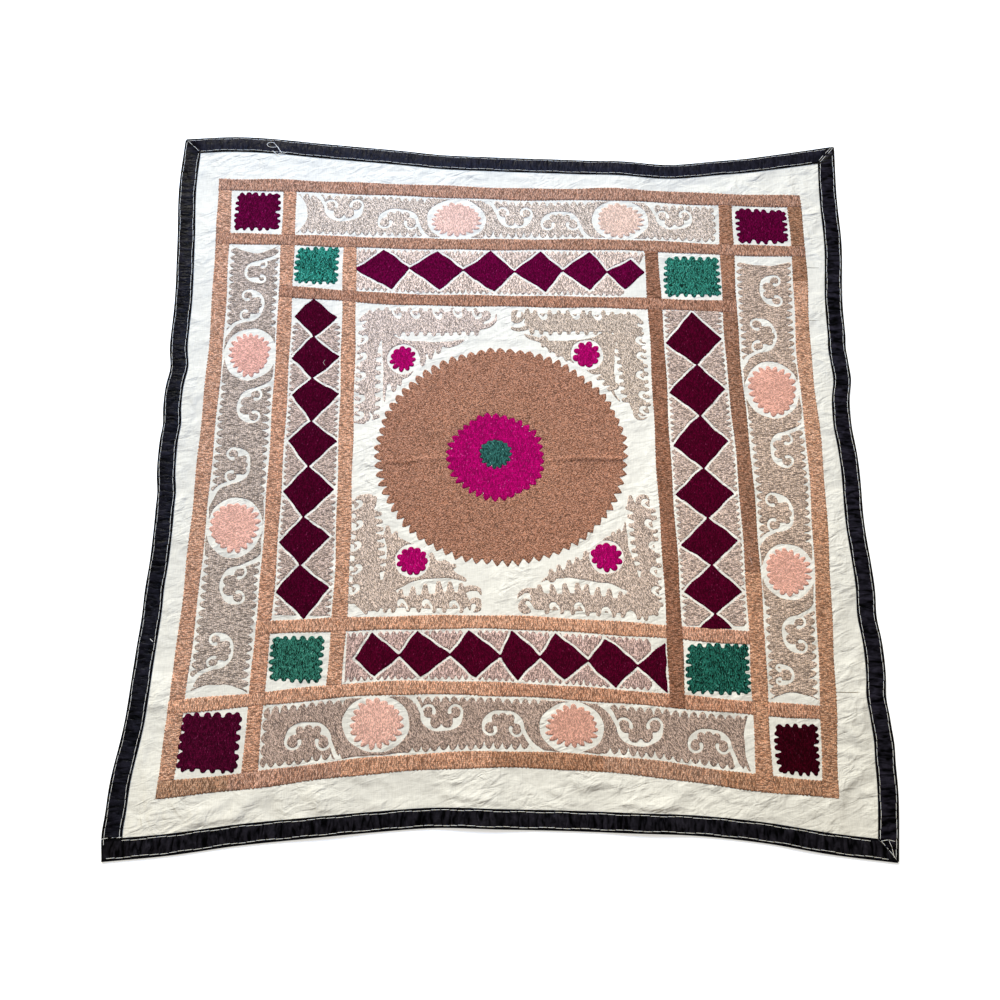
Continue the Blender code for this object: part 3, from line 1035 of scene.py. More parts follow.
def scroll_inside(s, t, curl, top, half_along, half_across, lobes):
    """Depth inside the embroidery within one scroll: a stem with round lobes, and a ball in each curl."""
    inner = np.minimum(0.52 * half_along - np.abs(s), t - top + 0.88 * half_across)
    for side in (-1, 1):
        from_curl = np.hypot(s - side * (half_along - curl), t - top)
        inner = np.maximum(inner, curl - 2 * HOOK_HALF - 0.0006 - from_curl)
    lobe = half_across * LOBE_SHARES[lobes]
    reach_s, reach_t = half_along - lobe - LOBE_INSET, half_across + top - lobe - LOBE_INSET
    for k in range(lobes):
        out_s, out_t = direction(270 + (k - (lobes - 1) / 2) * 90 / lobes)
        radius = lobe * (1 + 0.06 * math.sin(k * 5.0 + half_along * 900))
        inner = np.maximum(inner, radius - np.hypot(s - reach_s * out_s, t - top - reach_t * out_t))
    return inner


def scroll_depth(s, t, half_along, half_across, tail_run, tail_reach, lobes):
    """The bare lines of one scroll: a bowl that opens to +t, with a curl at each end and a tail at -s.

    Inside it the embroidery ends in so many rounded lobes at the bowl, and in a ball within each curl.
    """
    curl = CURL_SHARE * half_along
    top = half_across - curl
    radii = (half_along, half_across + top)
    powers = np.abs(s / radii[0]) ** BOWL_POWER + np.abs((t - top) / radii[1]) ** BOWL_POWER
    ring = powers ** (1 / BOWL_POWER)
    bowl = np.where(t < top, (1 - ring) * (radii[0] + radii[1]) / 2, -0.02)
    depth = np.minimum(bowl, -scroll_inside(s, t, curl, top, half_along, half_across, lobes))
    for side in (-1, 1):
        centre = (side * (half_along - curl), top)
        hook = curl_line(centre, curl - HOOK_HALF, 180 if side < 0 else 0, side * 190, 0.66)
        widths = np.interp(np.linspace(0, 1, len(hook)), (0, 0.75, 0.9, 1), (1, 1, 1.5, 1.7)) * HOOK_HALF
        depth = np.maximum(depth, line_depth(s, t, hook, widths))
    if tail_run > 0:
        tail = curve_through((
            (-half_along + LINE_HALF, top - 0.004),
            (-half_along - 0.004 - 0.1 * tail_run, top * 0.5 + tail_reach * 0.5),
            (-half_along - 0.55 * tail_run, tail_reach * 0.84),
            (-half_along - tail_run, tail_reach + 0.002),
        ))
        depth = np.maximum(depth, line_depth(s, t, tail, np.linspace(*TAIL_HALVES, len(tail))))
    return depth


# Each panel in millimetres. sides are the strips that it lies between. ends are where it starts and stops and
# how much each end is hollowed; an end that isn't hollowed has fingers. ovals are the bare rings round the
# rosettes, as centre and half sizes. scrolls are centre, side they open to, half length, half width and run
# of the tail.
PANELS = {
    "left": {
        "sides": ("V1", "V2"), "ends": ((-513, 18), (549, 22)),
        "ovals": (((-596, 263), (60, 65)), ((-595, -153), (61, 69))),
        "scrolls": (
            ((-599, 477), 1, 30, 27, 24), ((-602, 388), -1, 41, 29, 52), ((-586, 135), 1, 42, 29, 24),
            ((-601, -8), -1, 42, 29, 60), ((-586, -282), 1, 43, 29, 26), ((-602, -424), -1, 39, 28, 48),
        ),
    },
    "right": {
        "sides": ("V5", "V6"), "ends": ((-512, 16), (521, 12)),
        "ovals": (((609, 190), (62, 70)), ((618, -236), (57, 62))),
        "scrolls": (
            ((623, 443), 1, 41, 27, 0), ((597, 326), -1, 44, 31, 44), ((623, 45), 1, 42, 27, 24),
            ((607, -103), -1, 45, 32, 34), ((623, -372), 1, 41, 27, 24), ((596, -459), -1, 22, 20, 0),
        ),
    },
    "top": {
        "sides": ("H2", "H1"), "ends": ((-514, 26), (498, -3)),
        "ovals": (((-127, 624), (71, 56)), ((269, 626), (68, 54))),
        "scrolls": (
            ((-400, 647), 1, 48, 31, 28), ((-268, 622), -1, 50, 29, 28), ((14, 632), 1, 44, 29, 34),
            ((124, 622), -1, 47, 27, 36), ((400, 631), 1, 44, 27, 22),
        ),
    },
    "bottom": {
        "sides": ("H6", "H5"), "ends": ((-497, -4), (514, 12)),
        "ovals": (((-263, -571), (70, 58)), ((145, -573), (67, 52))),
        "scrolls": (
            ((-403, -600), -1, 49, 30, 44), ((-126, -556), 1, 45, 29, 36), ((2, -568), -1, 44, 28, 38),
            ((287, -579), 1, 49, 30, 34), ((429, -599), -1, 45, 26, 18),
        ),
    },
}
PANEL_PITCH, PANEL_NOTCH, PANEL_MARGIN = 0.0186, 0.0155, 0.0030


def panel_outline(spec, at, beside, low, high, middles):
    """Depth inside a panel with fingers on both sides, but none beside its ovals, and hollowed ends."""
    place = at / PANEL_PITCH
    calm = np.min([smooth_step(0.056, 0.074, np.abs(at - middle)) for middle in middles], axis=0)
    tooth = PANEL_NOTCH * calm * (1 - fingers(place, 0.85))
    depth = np.minimum(beside - low - tooth * uneven(place, 2.0), high - beside - tooth * uneven(place, 3.0))
    share = np.clip(2 * (beside - low) / (high - low) - 1, -1, 1)
    end_tooth = 0.7 * PANEL_NOTCH * (1 - fingers((beside - low) / (high - low) * 5, 0.85))
    (first, first_hollow), (last, last_hollow) = (mm(end) for end in spec["ends"])
    for room, hollow in ((at - first, first_hollow), (last - at, last_hollow)):
        depth = np.minimum(depth, room - hollow * (1 - share**2) - end_tooth * (hollow < 0))
    return depth


def panel_depth(side):
    """A taupe panel of scrolls. s runs along it and t across it, from a scroll's own centre."""
    spec = PANELS[side]
    along_axis, across_axis = (1, 0) if side in UPRIGHT else (0, 1)
    middles = [mm(centre)[along_axis] for centre, _ in spec["ovals"]]

    def depth_at(x, y):
        x, y = wobble(x, y, 0.0008)
        place = (x, y)
        at, beside = place[along_axis], place[across_axis]
        low, high = between_strips(spec["sides"], at, PANEL_MARGIN)
        depth = panel_outline(spec, at, beside, low, high, middles)
        for centre, radii in spec["ovals"]:
            depth = np.minimum(depth, -plain_ellipse(mm(centre), mm(radii))(x, y))
        for centre, opening, half_along, half_across, run in spec["scrolls"]:
            centre = mm(centre)
            s, t = at - centre[along_axis], beside - centre[across_axis]
            if side in UPRIGHT:
                s = -s
            low_edge, high_edge = between_strips(spec["sides"], np.array(centre[along_axis]))
            edge = high_edge if opening > 0 else low_edge
            reach = opening * (float(edge) - centre[across_axis])
            sizes = mm((half_along, half_across, run))
            lines = scroll_depth(opening * s, opening * t, *sizes, reach, 2 if opening > 0 else 3)
            depth = np.minimum(depth, -lines)
        return depth

    return depth_at


# ---------------------------------------------------------------- the corner leaves of the middle field

# Each leaf is told in millimetres on the cloth. bodies are its smooth outlines; ribbons are curves that are
# embroidered, and cuts curves left bare, each with its first, middle and last half width; discs are round
# ends, as centre and radius; commas are the bare hooks on the side of the leaf that faces a strip; fingers
# are rounded tips with the way they point in degrees; rows are even rows of finger tips: the first and last
# tip, how many, and the way they point.
CORNER_LEAVES = {
    "top_left": {
        "bodies": (
            ((-330, 352), (-322, 370), (-296, 379), (-200, 378), (-120, 378), (-66, 380), (-52, 360),
             (-62, 340), (-82, 328), (-150, 323), (-235, 324), (-262, 317), (-296, 300), (-330, 318)),
            ((-336, 332), (-342, 290), (-340, 240), (-338, 190), (-338, 130), (-326, 108), (-308, 106),
             (-301, 130), (-301, 190), (-303, 245), (-298, 285), (-288, 330)),
            ((-292, 322), (-262, 314), (-236, 303), (-180, 300), (-130, 302), (-99, 306), (-112, 292),
             (-135, 285), (-158, 289), (-172, 276), (-188, 266), (-200, 252), (-222, 214), (-238, 206),
             (-250, 204), (-264, 196), (-278, 190), (-284, 215), (-288, 250)),
        ),
        "ribbons": (
            (((-26, 372), (-28, 356), (-44, 343), (-66, 338)), (2.0, 5.0, 7.0)),
            (((-280, 215), (-279, 180), (-280, 150)), (4.5, 4.5, 2.0)),
            (((-262, 208), (-244, 206), (-225, 213)), (4.0, 3.0, 1.2)),
        ),
        "discs": ((-52, 368, 14), (-318, 117, 17)),
        "cuts": (
            (((-31, 388), (-32, 368), (-40, 355), (-52, 351)), (2.0, 2.8, 1.0)),
            (((-309, 98), (-306, 112), (-312, 122)), (3.0, 2.5, 1.0)),
        ),
        "commas": (
            ("top", ((-256, 366), (-213, 364), (-161, 366), (-113, 368), (-68, 367))),
            ("left", ((-330, 306), (-331, 262), (-331, 214), (-331, 157), (-331, 116))),
        ),
        "fingers": (
            (-348, 351, 215), (-341, 338, 195), (-349, 322, 180), (-196, 237, 268), (-177, 255, 268),
            (-159, 269, 270), (-259, 173, 268), (-243, 189, 285),
        ),
        "rows": (
            (-322, 381, -283, 388, 3, 92), (-257, 388, -205, 387, 3, 92), (-182, 387, -77, 389, 5, 92),
            (-349, 290, -348, 100, 11, 182), (-290, 262, -288, 112, 8, 2), (-252, 312, -72, 317, 10, 270),
        ),
    },
    "top_right": {
        "bodies": (
            ((38, 352), (48, 374), (70, 376), (150, 376), (230, 374), (286, 378), (302, 360), (300, 330),
             (235, 328), (200, 331), (150, 330), (100, 329), (62, 333), (46, 340)),
            ((246, 330), (296, 344), (313, 332), (314, 290), (316, 240), (318, 190), (318, 150), (304, 128),
             (287, 136), (279, 158), (270, 200), (264, 250), (256, 296)),
            ((36, 325), (60, 318), (90, 309), (130, 307), (170, 310), (203, 318), (222, 328), (252, 318),
             (249, 260), (246, 215), (238, 198), (224, 208), (214, 224), (190, 229), (146, 254), (128, 266),
             (98, 283), (82, 298), (60, 305), (44, 314)),
        ),
        "ribbons": (
            (((2, 353), (8, 340), (28, 334), (48, 340)), (1.6, 5.0, 6.0)),
            (((186, 231), (204, 226), (226, 232)), (1.2, 3.4, 5.0)),
            (((246, 220), (243, 190), (247, 172), (259, 157)), (4.0, 3.6, 1.6)),
        ),
        "discs": ((22, 368, 18), (307, 130, 19)),
        "cuts": (
            (((27, 371), (29, 380), (33, 391)), (5.5, 4.0, 3.0)),
            (((5, 353), (14, 347), (26, 346), (38, 351)), (1.5, 3.0, 0.8)),
            (((301, 126), (308, 119), (322, 121)), (1.6, 2.2, 1.4)),
        ),
        "commas": (
            ("top", ((86, 366), (162, 368), (214, 367))),
            ("right", ((306, 312), (308, 272), (305, 224), (310, 174), (310, 138))),
        ),
        "fingers": (
            (318, 352, 325), (283, 385, 105), (300, 378, 60), (83, 289, 262), (101, 276, 262),
            (118, 265, 265), (138, 253, 268), (207, 211, 200), (221, 197, 200), (231, 184, 205),
        ),
        "rows": (
            (47, 388, 66, 386, 2, 90), (100, 386, 142, 385, 3, 90), (178, 386, 195, 386, 2, 90),
            (226, 386, 266, 380, 3, 88), (316, 340, 318, 328, 2, 0), (325, 300, 329, 150, 9, 0),
            (250, 292, 262, 160, 8, 182), (58, 320, 206, 322, 8, 270),
        ),
    },
    "bottom_left": {
        "bodies": (
            ((-334, -96), (-326, -78), (-306, -72), (-290, -80), (-290, -112), (-284, -150), (-276, -200),
             (-270, -250), (-266, -280), (-268, -328), (-300, -335), (-323, -318), (-328, -290), (-328, -240),
             (-328, -190), (-328, -140)),
            ((-290, -331), (-250, -328), (-200, -327), (-140, -327), (-84, -326), (-76, -302), (-88, -292),
             (-130, -291), (-180, -297), (-225, -300), (-250, -262), (-300, -290)),
            ((-262, -262), (-257, -200), (-264, -165), (-250, -160), (-228, -172), (-205, -183), (-190, -188),
             (-168, -206), (-158, -208), (-148, -221), (-122, -224), (-108, -246), (-84, -258), (-81, -268),
             (-100, -264), (-130, -261), (-160, -262), (-190, -267), (-222, -283), (-252, -292)),
        ),
        "ribbons": (
            (((-88, -288), (-72, -281), (-56, -283), (-47, -297)), (7.0, 6.0, 3.0)),
            (((-288, -82), (-289, -96), (-291, -106)), (5.0, 4.0, 2.0)),
        ),
        "discs": ((-62, -318, 17), (-318, -88, 15)),
        "cuts": (
            (((-77, -299), (-64, -294), (-53, -298), (-47, -307)), (1.2, 3.0, 1.6)),
            (((-66, -320), (-68, -328), (-74, -338)), (5.0, 3.6, 3.0)),
        ),
        "commas": (
            ("left", ((-322, -94), (-320, -141), (-320, -189), (-316, -240), (-318, -284))),
            ("bottom", ((-222, -315), (-168, -314), (-110, -316))),
        ),
        "fingers": (
            (-342, -313, 185), (-294, -342, 300), (-259, -143, 95), (-240, -156, 90), (-160, -203, 95),
            (-131, -219, 82), (-106, -231, 35),
        ),
        "rows": (
            (-341, -90, -341, -132, 3, 180), (-341, -158, -341, -180, 2, 180),
            (-341, -206, -340, -230, 2, 180), (-340, -252, -339, -300, 3, 180),
            (-271, -118, -256, -240, 8, 2), (-272, -337, -238, -338, 3, 270),
            (-207, -336, -184, -337, 2, 270), (-150, -337, -128, -337, 2, 270),
            (-92, -337, -91, -337, 1, 270), (-222, -286, -168, -273, 3, 92),
            (-143, -266, -94, -270, 3, 92),
        ),
    },
    "bottom_right": {
        "bodies": (
            ((56, -290), (76, -290), (110, -291), (150, -290), (200, -293), (250, -299), (290, -268),
             (332, -298), (334, -326), (306, -338), (250, -333), (200, -331), (150, -329), (100, -327),
             (64, -326)),
            ((284, -104), (288, -84), (300, -68), (316, -70), (322, -100), (326, -150), (330, -200),
             (333, -250), (335, -300), (300, -312), (290, -268), (297, -240), (291, -200), (285, -160)),
            ((78, -268), (92, -254), (110, -243), (130, -237), (150, -224), (172, -211), (182, -200),
             (214, -172), (226, -162), (245, -160), (258, -150), (265, -126), (270, -160), (274, -190),
             (283, -220), (292, -250), (298, -292), (262, -282), (235, -270), (200, -264), (160, -259),
             (130, -257), (100, -260)),
        ),
        "ribbons": ((((24, -314), (30, -299), (46, -287), (68, -286)), (1.8, 5.0, 6.0)),),
        "discs": ((47, -320, 17), (306, -80, 16)),
        "cuts": (
            (((28, -312), (35, -302), (48, -298)), (1.2, 3.0, 1.2)),
            (((51, -314), (58, -322), (67, -338)), (5.2, 4.0, 3.0)),
        ),
        "commas": (
            ("bottom", ((106, -316), (160, -317), (218, -326), (271, -332))),
            ("right", ((309, -84), (314, -131), (323, -181), (324, -238), (327, -281))),
        ),
        "fingers": (
            (344, -314, 350), (332, -336, 320), (306, -348, 280), (278, -66, 95), (100, -236, 100),
            (118, -226, 96), (140, -216, 92), (158, -210, 90), (179, -194, 88), (238, -151, 92),
            (251, -145, 88),
        ),
        "rows": (
            (92, -336, 124, -337, 2, 270), (148, -338, 180, -339, 2, 270), (204, -340, 236, -343, 2, 270),
            (256, -343, 290, -346, 2, 270), (334, -102, 336, -118, 2, 0), (338, -150, 340, -168, 2, 0),
            (341, -204, 342, -226, 2, 0), (343, -254, 343, -298, 3, 0), (268, -96, 282, -232, 8, 180),
            (76, -271, 158, -266, 4, 92), (181, -269, 252, -284, 4, 92),
        ),
    },
}
# A bare hook, as (outward, sideways, half width) from its middle, in millimetres
COMMA = ((15, 13, 1.8), (8, 12, 2.0), (2, 8, 2.6), (-3, 2, 4.0), (0, -4, 4.2), (6, -5, 2.6))
# A leaf's fingers: their length, and their half widths at the tip and at the root
LEAF_FINGER = (0.022, 0.0052, 0.0092)
# The radius of the bare disc that the small rosette lies in
ROSETTE_RING = 0.0375


def tapered(line, widths):
    """Half widths in metres for each point of a line, from its first, middle and last in millimetres."""
    return np.interp(np.linspace(0, 1, len(line)), (0, 0.5, 1), mm(widths))


def comma_line(side, place):
    """A bare hook that starts at the leaf's edge and curls in beside its mouth: its line and half widths."""
    outward = np.array(direction(SIDE_HEADINGS[side]))
    sideways = np.array((-outward[1], outward[0]))
    if side == "right":
        sideways = -sideways
    points = [np.array(place) / 1000 + (out * outward + beside * sideways) / 1000 for out, beside, _ in COMMA]
    line = curve_through(points, 4)
    return line, smooth_between([width / 1000 for _, _, width in COMMA], np.linspace(0, 1, len(line)))


def leaf_fingers(spec):
    """Each finger of a leaf: its tip, and the way it points in degrees."""
    for tip_x, tip_y, heading in spec["fingers"]:
        yield mm((tip_x, tip_y)), heading
    for x0, y0, x1, y1, count, heading in spec["rows"]:
        for k in range(count):
            share = k / max(count - 1, 1)
            odd = math.sin(k * 12.9898 + x0)
            yield mm((x0 + (x1 - x0) * share + 0.8 * odd, y0 + (y1 - y0) * share)), heading + 6 * odd


def corner_leaf_depth(corner):
    """A corner leaf: what is embroidered, less the cuts, the commas and the disc for its rosette."""
    spec = CORNER_LEAVES[corner]
    added, bare = [], []
    for lines, kind in ((added, "ribbons"), (bare, "cuts")):
        for points, widths in spec[kind]:
            line = curve_through([mm(point) for point in points], 5)
            lines.append((line, tapered(line, widths)))
    for side, places in spec["commas"]:
        bare += [comma_line(side, place) for place in places]
    rosette = mm(SMALL_ROSETTES[corner][0])

    def depth_at(x, y):
        x, y = wobble(x, y, 0.0007)
        depth = np.full(x.shape, -0.05)
        for body in spec["bodies"]:
            closed = curve_through([mm(point) for point in (*body, body[0])], 3)
            depth = np.maximum(depth, polygon_depth(x, y, closed[:-1].tolist()))
        for line, widths in added:
            depth = np.maximum(depth, line_depth(x, y, line, widths))
        for disc in spec["discs"]:
            disc_x, disc_y, radius = mm(disc)
            depth = np.maximum(depth, radius - np.hypot(x - disc_x, y - disc_y))
        for tip, heading in leaf_fingers(spec):
            depth = np.maximum(depth, finger_depth(x, y, tip, heading, *LEAF_FINGER))
        for line, widths in bare:
            depth = np.minimum(depth, -line_depth(x, y, line, widths))
        return np.minimum(depth, np.hypot(x - rosette[0], y - rosette[1]) - ROSETTE_RING)

    return depth_at


# ---------------------------------------------------------------- the ground and the binding

# The bare margin that is modelled closely, and the size of the mesh's cells there, in the middle and along
# the binding
MARGIN_WIDTH = 0.062
MARGIN_CELL = 0.0038
MIDDLE_CELL = 0.0084
BINDING_CELL = 0.0080
# How far inside the binding the creases start and are whole
CREASE_FREE = (BAND + 0.001, BAND + 0.013)


def even_lines(half):
    """Pattern lines for the sheet: even in the middle, closer in the margin and on the ramp, then its rim."""
    inner = half - BAND - RAMP_WIDTH
    middle = inner - MARGIN_WIDTH
    cells = round(2 * middle / MIDDLE_CELL)
    margin = np.linspace(middle, inner, round(MARGIN_WIDTH / MARGIN_CELL) + 1)[1:]
    ramp = half - BAND - RAMP_WIDTH * np.array((6, 5, 4, 3, 2, 1)) / 7
    rim = np.array((half - BAND, half - BAND / 2, half - CLOTH_INSET))
    outer = np.concatenate([margin, ramp, rim])
    return np.concatenate([-outer[::-1], np.linspace(-middle, middle, cells + 1), outer])


def from_edge(p, q):
    """How far a place in the pattern is from the nearest edge."""
    return np.minimum(HALF_WIDTH - np.abs(p), HALF_LENGTH - np.abs(q))


def sheet_lift(p, q):
    """How far the cotton is lifted where it passes between the two leaves of the binding."""
    return CLOTH_LIFT * np.clip((BAND + RAMP_WIDTH - from_edge(p, q)) / RAMP_WIDTH, 0, 1)


def make_ground(material):
    p, q = np.meshgrid(even_lines(HALF_WIDTH), even_lines(HALF_LENGTH), indexing="ij")
    x, y = laid(p, q)
    free = smooth_step(*CREASE_FREE, from_edge(p, q))
    z = ripple_height(x, y) + crease_height(x, y) * free + sheet_lift(p, q)
    made = grid_points_object("cotton_ground", x, y, z, [material])
    add_thickness(made, CLOTH_THICKNESS, 1.0)
    return made


def mitred(half, inward):
    """Where a strip ends that is cut on the slant to meet the next one."""
    return half - np.maximum(inward, FOLD_RADIUS) - MITRE_GAP


def squared(half, inward):
    """Where a strip ends that runs out to the corner."""
    return half + 0 * inward


def stopped(half, inward):
    """Where a strip ends that stops beside the next one."""
    return half - BINDING_WIDTH - PIECE_GAP + 0 * inward


# How far each seam lies in from the strip's edge
SEAM_INSET = 0.0052
# How each side's strip ends: at the left or bottom, then at the right or top
BINDING_SIDES = {
    "top": (mitred, mitred),
    "right": (mitred, mitred),
    "bottom": (squared, mitred),
    "left": (stopped, mitred),
}
SIDE_SEEDS = {"top": 1.0, "right": 2.0, "bottom": 3.0, "left": 4.0}
# How strongly each side's strip puckers, how high it arches between its seams, and the height of a pucker
PUCKERS = {"top": 0.35, "right": 0.85, "bottom": 0.45, "left": 1.0}
ARCH_HEIGHT, PUCKER_HEIGHT = 0.0010, 0.0013
# The middle of the binding's upper leaf, its upper face, and how many faces go round the fold
BINDING_TOP = FOLD_MIDDLE + FOLD_RADIUS
BINDING_FACE = BINDING_TOP + LEAF_THICKNESS / 2
FOLD_STEPS = 6


def binding_profile():
    """The folded strip's middle line, from its upper edge to its lower: distances in, and heights."""
    inward = [BINDING_WIDTH, 0.0405, BINDING_WIDTH - SEAM_INSET, 0.032, 0.0265, 0.021, 0.0155, 0.010,
              SEAM_INSET, 0.0032]
    height = [BINDING_TOP] * len(inward)
    for step in range(FOLD_STEPS + 1):
        turn = math.pi * step / FOLD_STEPS
        inward.append(FOLD_RADIUS * (1 - math.sin(turn)))
        height.append(FOLD_MIDDLE + FOLD_RADIUS * math.cos(turn))
    for place in (0.010, 0.026, BINDING_WIDTH):
        inward.append(place)
        height.append(LOWER_LEAF_MIDDLE)
    return np.array(inward), np.array(height)


def pucker_height(side, along, inward):
    """The satin's cross puckers, which are highest halfway between its two seams."""
    between = (inward - SEAM_INSET) / (BINDING_WIDTH - 2 * SEAM_INSET)
    arch = np.clip(4 * between * (1 - between), 0, 1)
    seed = SIDE_SEEDS[side]
    slanted = along + 0.25 * (inward - BINDING_WIDTH / 2) * np.sin(along * 17 + seed)
    wave = np.sin(slanted * 251 + 2.1 * np.sin(slanted * 47 + seed) + seed)
    wave = wave + 0.6 * np.sin(slanted * 431 + 1.7 * np.sin(slanted * 61 + 2 * seed))
    strength = 0.6 + 0.4 * np.sin(along * 13 + 3 * seed)
    return arch * (ARCH_HEIGHT + PUCKER_HEIGHT * PUCKERS[side] * strength * np.clip(wave, -0.7, 1.6))


def side_half(side):
    """Half the length of a side in the pattern."""
    return HALF_LENGTH if side in UPRIGHT else HALF_WIDTH


def on_binding(side, along, inward):
    """Pattern coordinates of a place on one side's strip."""
    outward = 1 if side in ("top", "right") else -1
    if side in UPRIGHT:
        return outward * (HALF_WIDTH - inward), along
    return along, outward * (HALF_LENGTH - inward)


def make_binding(side, materials):
    """One side's strip, with the satin between its seams and the rim outside them, painted darker as shade.
    """
    half = side_half(side)
    inward, height = binding_profile()
    start_end, far_end = BINDING_SIDES[side]
    share = np.linspace(0, 1, round(2 * half / BINDING_CELL) + 1)[:, None]
    # The ends follow the corner's cut, and the slant fades within a short way
    whole = half - BAND - 0.004
    even = -whole + share * 2 * whole
    ends = [-start_end(half, inward)[None, :], far_end(half, inward)[None, :]]
    along = np.concatenate([ends[0], even + 0 * inward, ends[1]])
    depth_in = np.broadcast_to(inward, along.shape)
    x, y = laid(*on_binding(side, along, depth_in))
    upper = height == BINDING_TOP
    z = ripple_height(x, y) + height + np.where(upper, pucker_height(side, along, depth_in), 0)
    if side in ("right", "bottom"):
        x, y, z = x[::-1], y[::-1], z[::-1]
    made = grid_points_object(f"satin_{side}", x, y, z, materials)
    between = (inward[:-1] <= BINDING_WIDTH - SEAM_INSET) & (inward[1:] >= SEAM_INSET) & upper[1:]
    kinds = np.where(between, 0, 1)
    made.data.polygons.foreach_set("material_index", np.tile(kinds, x.shape[0] - 1).astype(np.int32))
    add_thickness(made, LEAF_THICKNESS, 0.0)
    return made


# ---------------------------------------------------------------- sewing

DASH_LENGTH, DASH_GAP, THREAD_RADIUS = 0.0170, 0.0007, 0.00046
# The rings of points round a stitch: the share of the way along it, and the share of the thread's radius
DASH_RINGS = ((0.0, 0.25), (0.08, 0.85), (0.5, 1.0), (0.92, 0.85), (1.0, 0.25))
# A stitch is flatter than it is wide, by this share, and rises by this many radii at its middle
DASH_FLATNESS, DASH_ARCH = 0.75, 0.9
TUBE_SIDES = 6


def add_tube(points, faces, places, besides, radii, flatness=1.0):
    """A closed tube round a line of places, with the way across it and its radius at each of them."""
    first = len(points)
    for place, beside, radius in zip(places, besides, radii):
        for k in range(TUBE_SIDES):
            turn = 2 * math.pi * k / TUBE_SIDES
            up = np.array((0, 0, flatness * math.sin(turn)))
            points.append(tuple(place + radius * (beside * math.cos(turn) + up)))
    last = first + (len(radii) - 1) * TUBE_SIDES
    for ring in range(first, last, TUBE_SIDES):
        for k in range(TUBE_SIDES):
            a, b = ring + k, ring + (k + 1) % TUBE_SIDES
            faces.append((a, b, b + TUBE_SIDES, a + TUBE_SIDES))
    faces.append(tuple(first + k for k in reversed(range(TUBE_SIDES))))
    faces.append(tuple(last + k for k in range(TUBE_SIDES)))


def add_dash(points, faces, ends):
    """One stitch: a short rounded bar between two places, a little flattened."""
    start, end = np.asarray(ends)
    run = (end - start) / np.linalg.norm(end - start)
    beside = np.array((-run[1], run[0], 0.0))
    places = []
    for share, _ in DASH_RINGS:
        arch = THREAD_RADIUS * DASH_ARCH * math.sin(math.pi * share)
        places.append(start + (end - start) * share + np.array((0, 0, arch)))
    radii = [THREAD_RADIUS * size for _, size in DASH_RINGS]
    add_tube(points, faces, places, [beside] * len(places), radii, DASH_FLATNESS)


CORNER_STITCH_LIFT = 0.0008
CORNER_SIDES = {"top_left": (-1, 1), "top_right": (1, 1), "bottom_right": (1, -1), "bottom_left": (-1, -1)}
# Stitches that hold each corner: their two ends, in millimetres in from the cloth's two edges
CORNER_STITCHES = {
    "top_left": (((6, 5), (20, 19)), ((21, 20), (38, 37))),
    "top_right": (
        ((4, 5), (19, 22)), ((20, 23), (37, 40)), ((9, 4), (24, 18)), ((25, 19), (39, 35)), ((4, 5), (9, 4)),
    ),
    "bottom_right": (
        ((5, 6), (20, 22)), ((21, 23), (36, 38)), ((36, 38), (22, 42)), ((21, 42), (8, 40)),
        ((10, 8), (14, 26)), ((14, 27), (21, 41)),
    ),
    "bottom_left": (((1, 43), (15, 44)), ((16, 44), (30, 43)), ((31, 43), (41, 43))),
}


def binding_top_at(side, along, inward):
    """The place on the satin's upper face, in the part's frame."""
    along, inward = np.array(along), np.array(inward)
    x, y = laid(*on_binding(side, along, inward))
    return in_part(x, y, ripple_height(x, y) + BINDING_FACE + pucker_height(side, along, inward))[0]


def add_seam(points, faces, side, row, inset):
    """One row of running stitches down a side's strip, each a little longer or shorter than the next."""
    seed = SIDE_SEEDS[side]
    reach = side_half(side) - inset - 0.004
    at, count = -reach, 0
    while at < reach - DASH_LENGTH:
        length = DASH_LENGTH * (1 + 0.16 * math.sin(count * 7.31 + seed * 3 + row))
        stray = 0.0008 * math.sin(count * 1.37 + seed)
        add_dash(points, faces, [binding_top_at(side, place, inset + stray) for place in (at, at + length)])
        at += length + DASH_GAP * (1 + 0.3 * math.sin(count * 5.1 + row))
        count += 1


def make_running_stitches(material):
    """White running stitch along both edges of the binding, and down each corner's joint."""
    points, faces = [], []
    for side in SIDE_SEEDS:
        for row, inset in enumerate((SEAM_INSET, BINDING_WIDTH - SEAM_INSET)):
            add_seam(points, faces, side, row, inset)
    for corner, lines in CORNER_STITCHES.items():
        side_x, side_y = CORNER_SIDES[corner]
        for ends in lines:
            in_x, in_y = np.array(ends).T / 1000
            x, y = laid((HALF_WIDTH - in_x) * side_x, (HALF_LENGTH - in_y) * side_y)
            add_dash(points, faces, in_part(x, y, ripple_height(x, y) + BINDING_FACE + CORNER_STITCH_LIFT))
    return mesh_object("running_stitches", points, faces, [material])


# Threads that lie loose on the cloth and tucks sewn in its margin, whose cords are dark with painted shade of
# the fold:
# their places in millimetres on the cloth, what they lie on, and their radius in millimetres
LOOSE_THREADS = (
    (((-564, 803), (-570, 813), (-575, 820), (-583, 829), (-592, 831), (-599, 827), (-598, 821), (-590, 817),
      (-580, 817), (-573, 818), (-568, 810), (-562, 801)), "satin", 0.55),
    (((-585, 806), (-577, 800), (-573, 796), (-566, 799), (-556, 800), (-549, 803)), "satin", 0.55),
    (((68, 773), (72, 763), (66, 756), (77, 748)), "cotton", 0.55),
    (((72, 763), (78, 766)), "cotton", 0.5),
    (((-752, -402), (-745, -408)), "satin", 0.6),
)
SHADED_TUCKS = (
    (((700, 505), (731, 504), (762, 504)), "cotton", 0.7),
    (((702, 366), (723, 366), (748, 365)), "cotton", 0.6),
    (((694, -493), (729, -494), (768, -492)), "cotton", 0.8),
)
STRAY_YARNS = (
    (((533, -204), (537, -211), (540, -221)), "yarn", 0.45),
    (((-421, 250), (-424, 243), (-420, 236)), "yarn", 0.4),
)
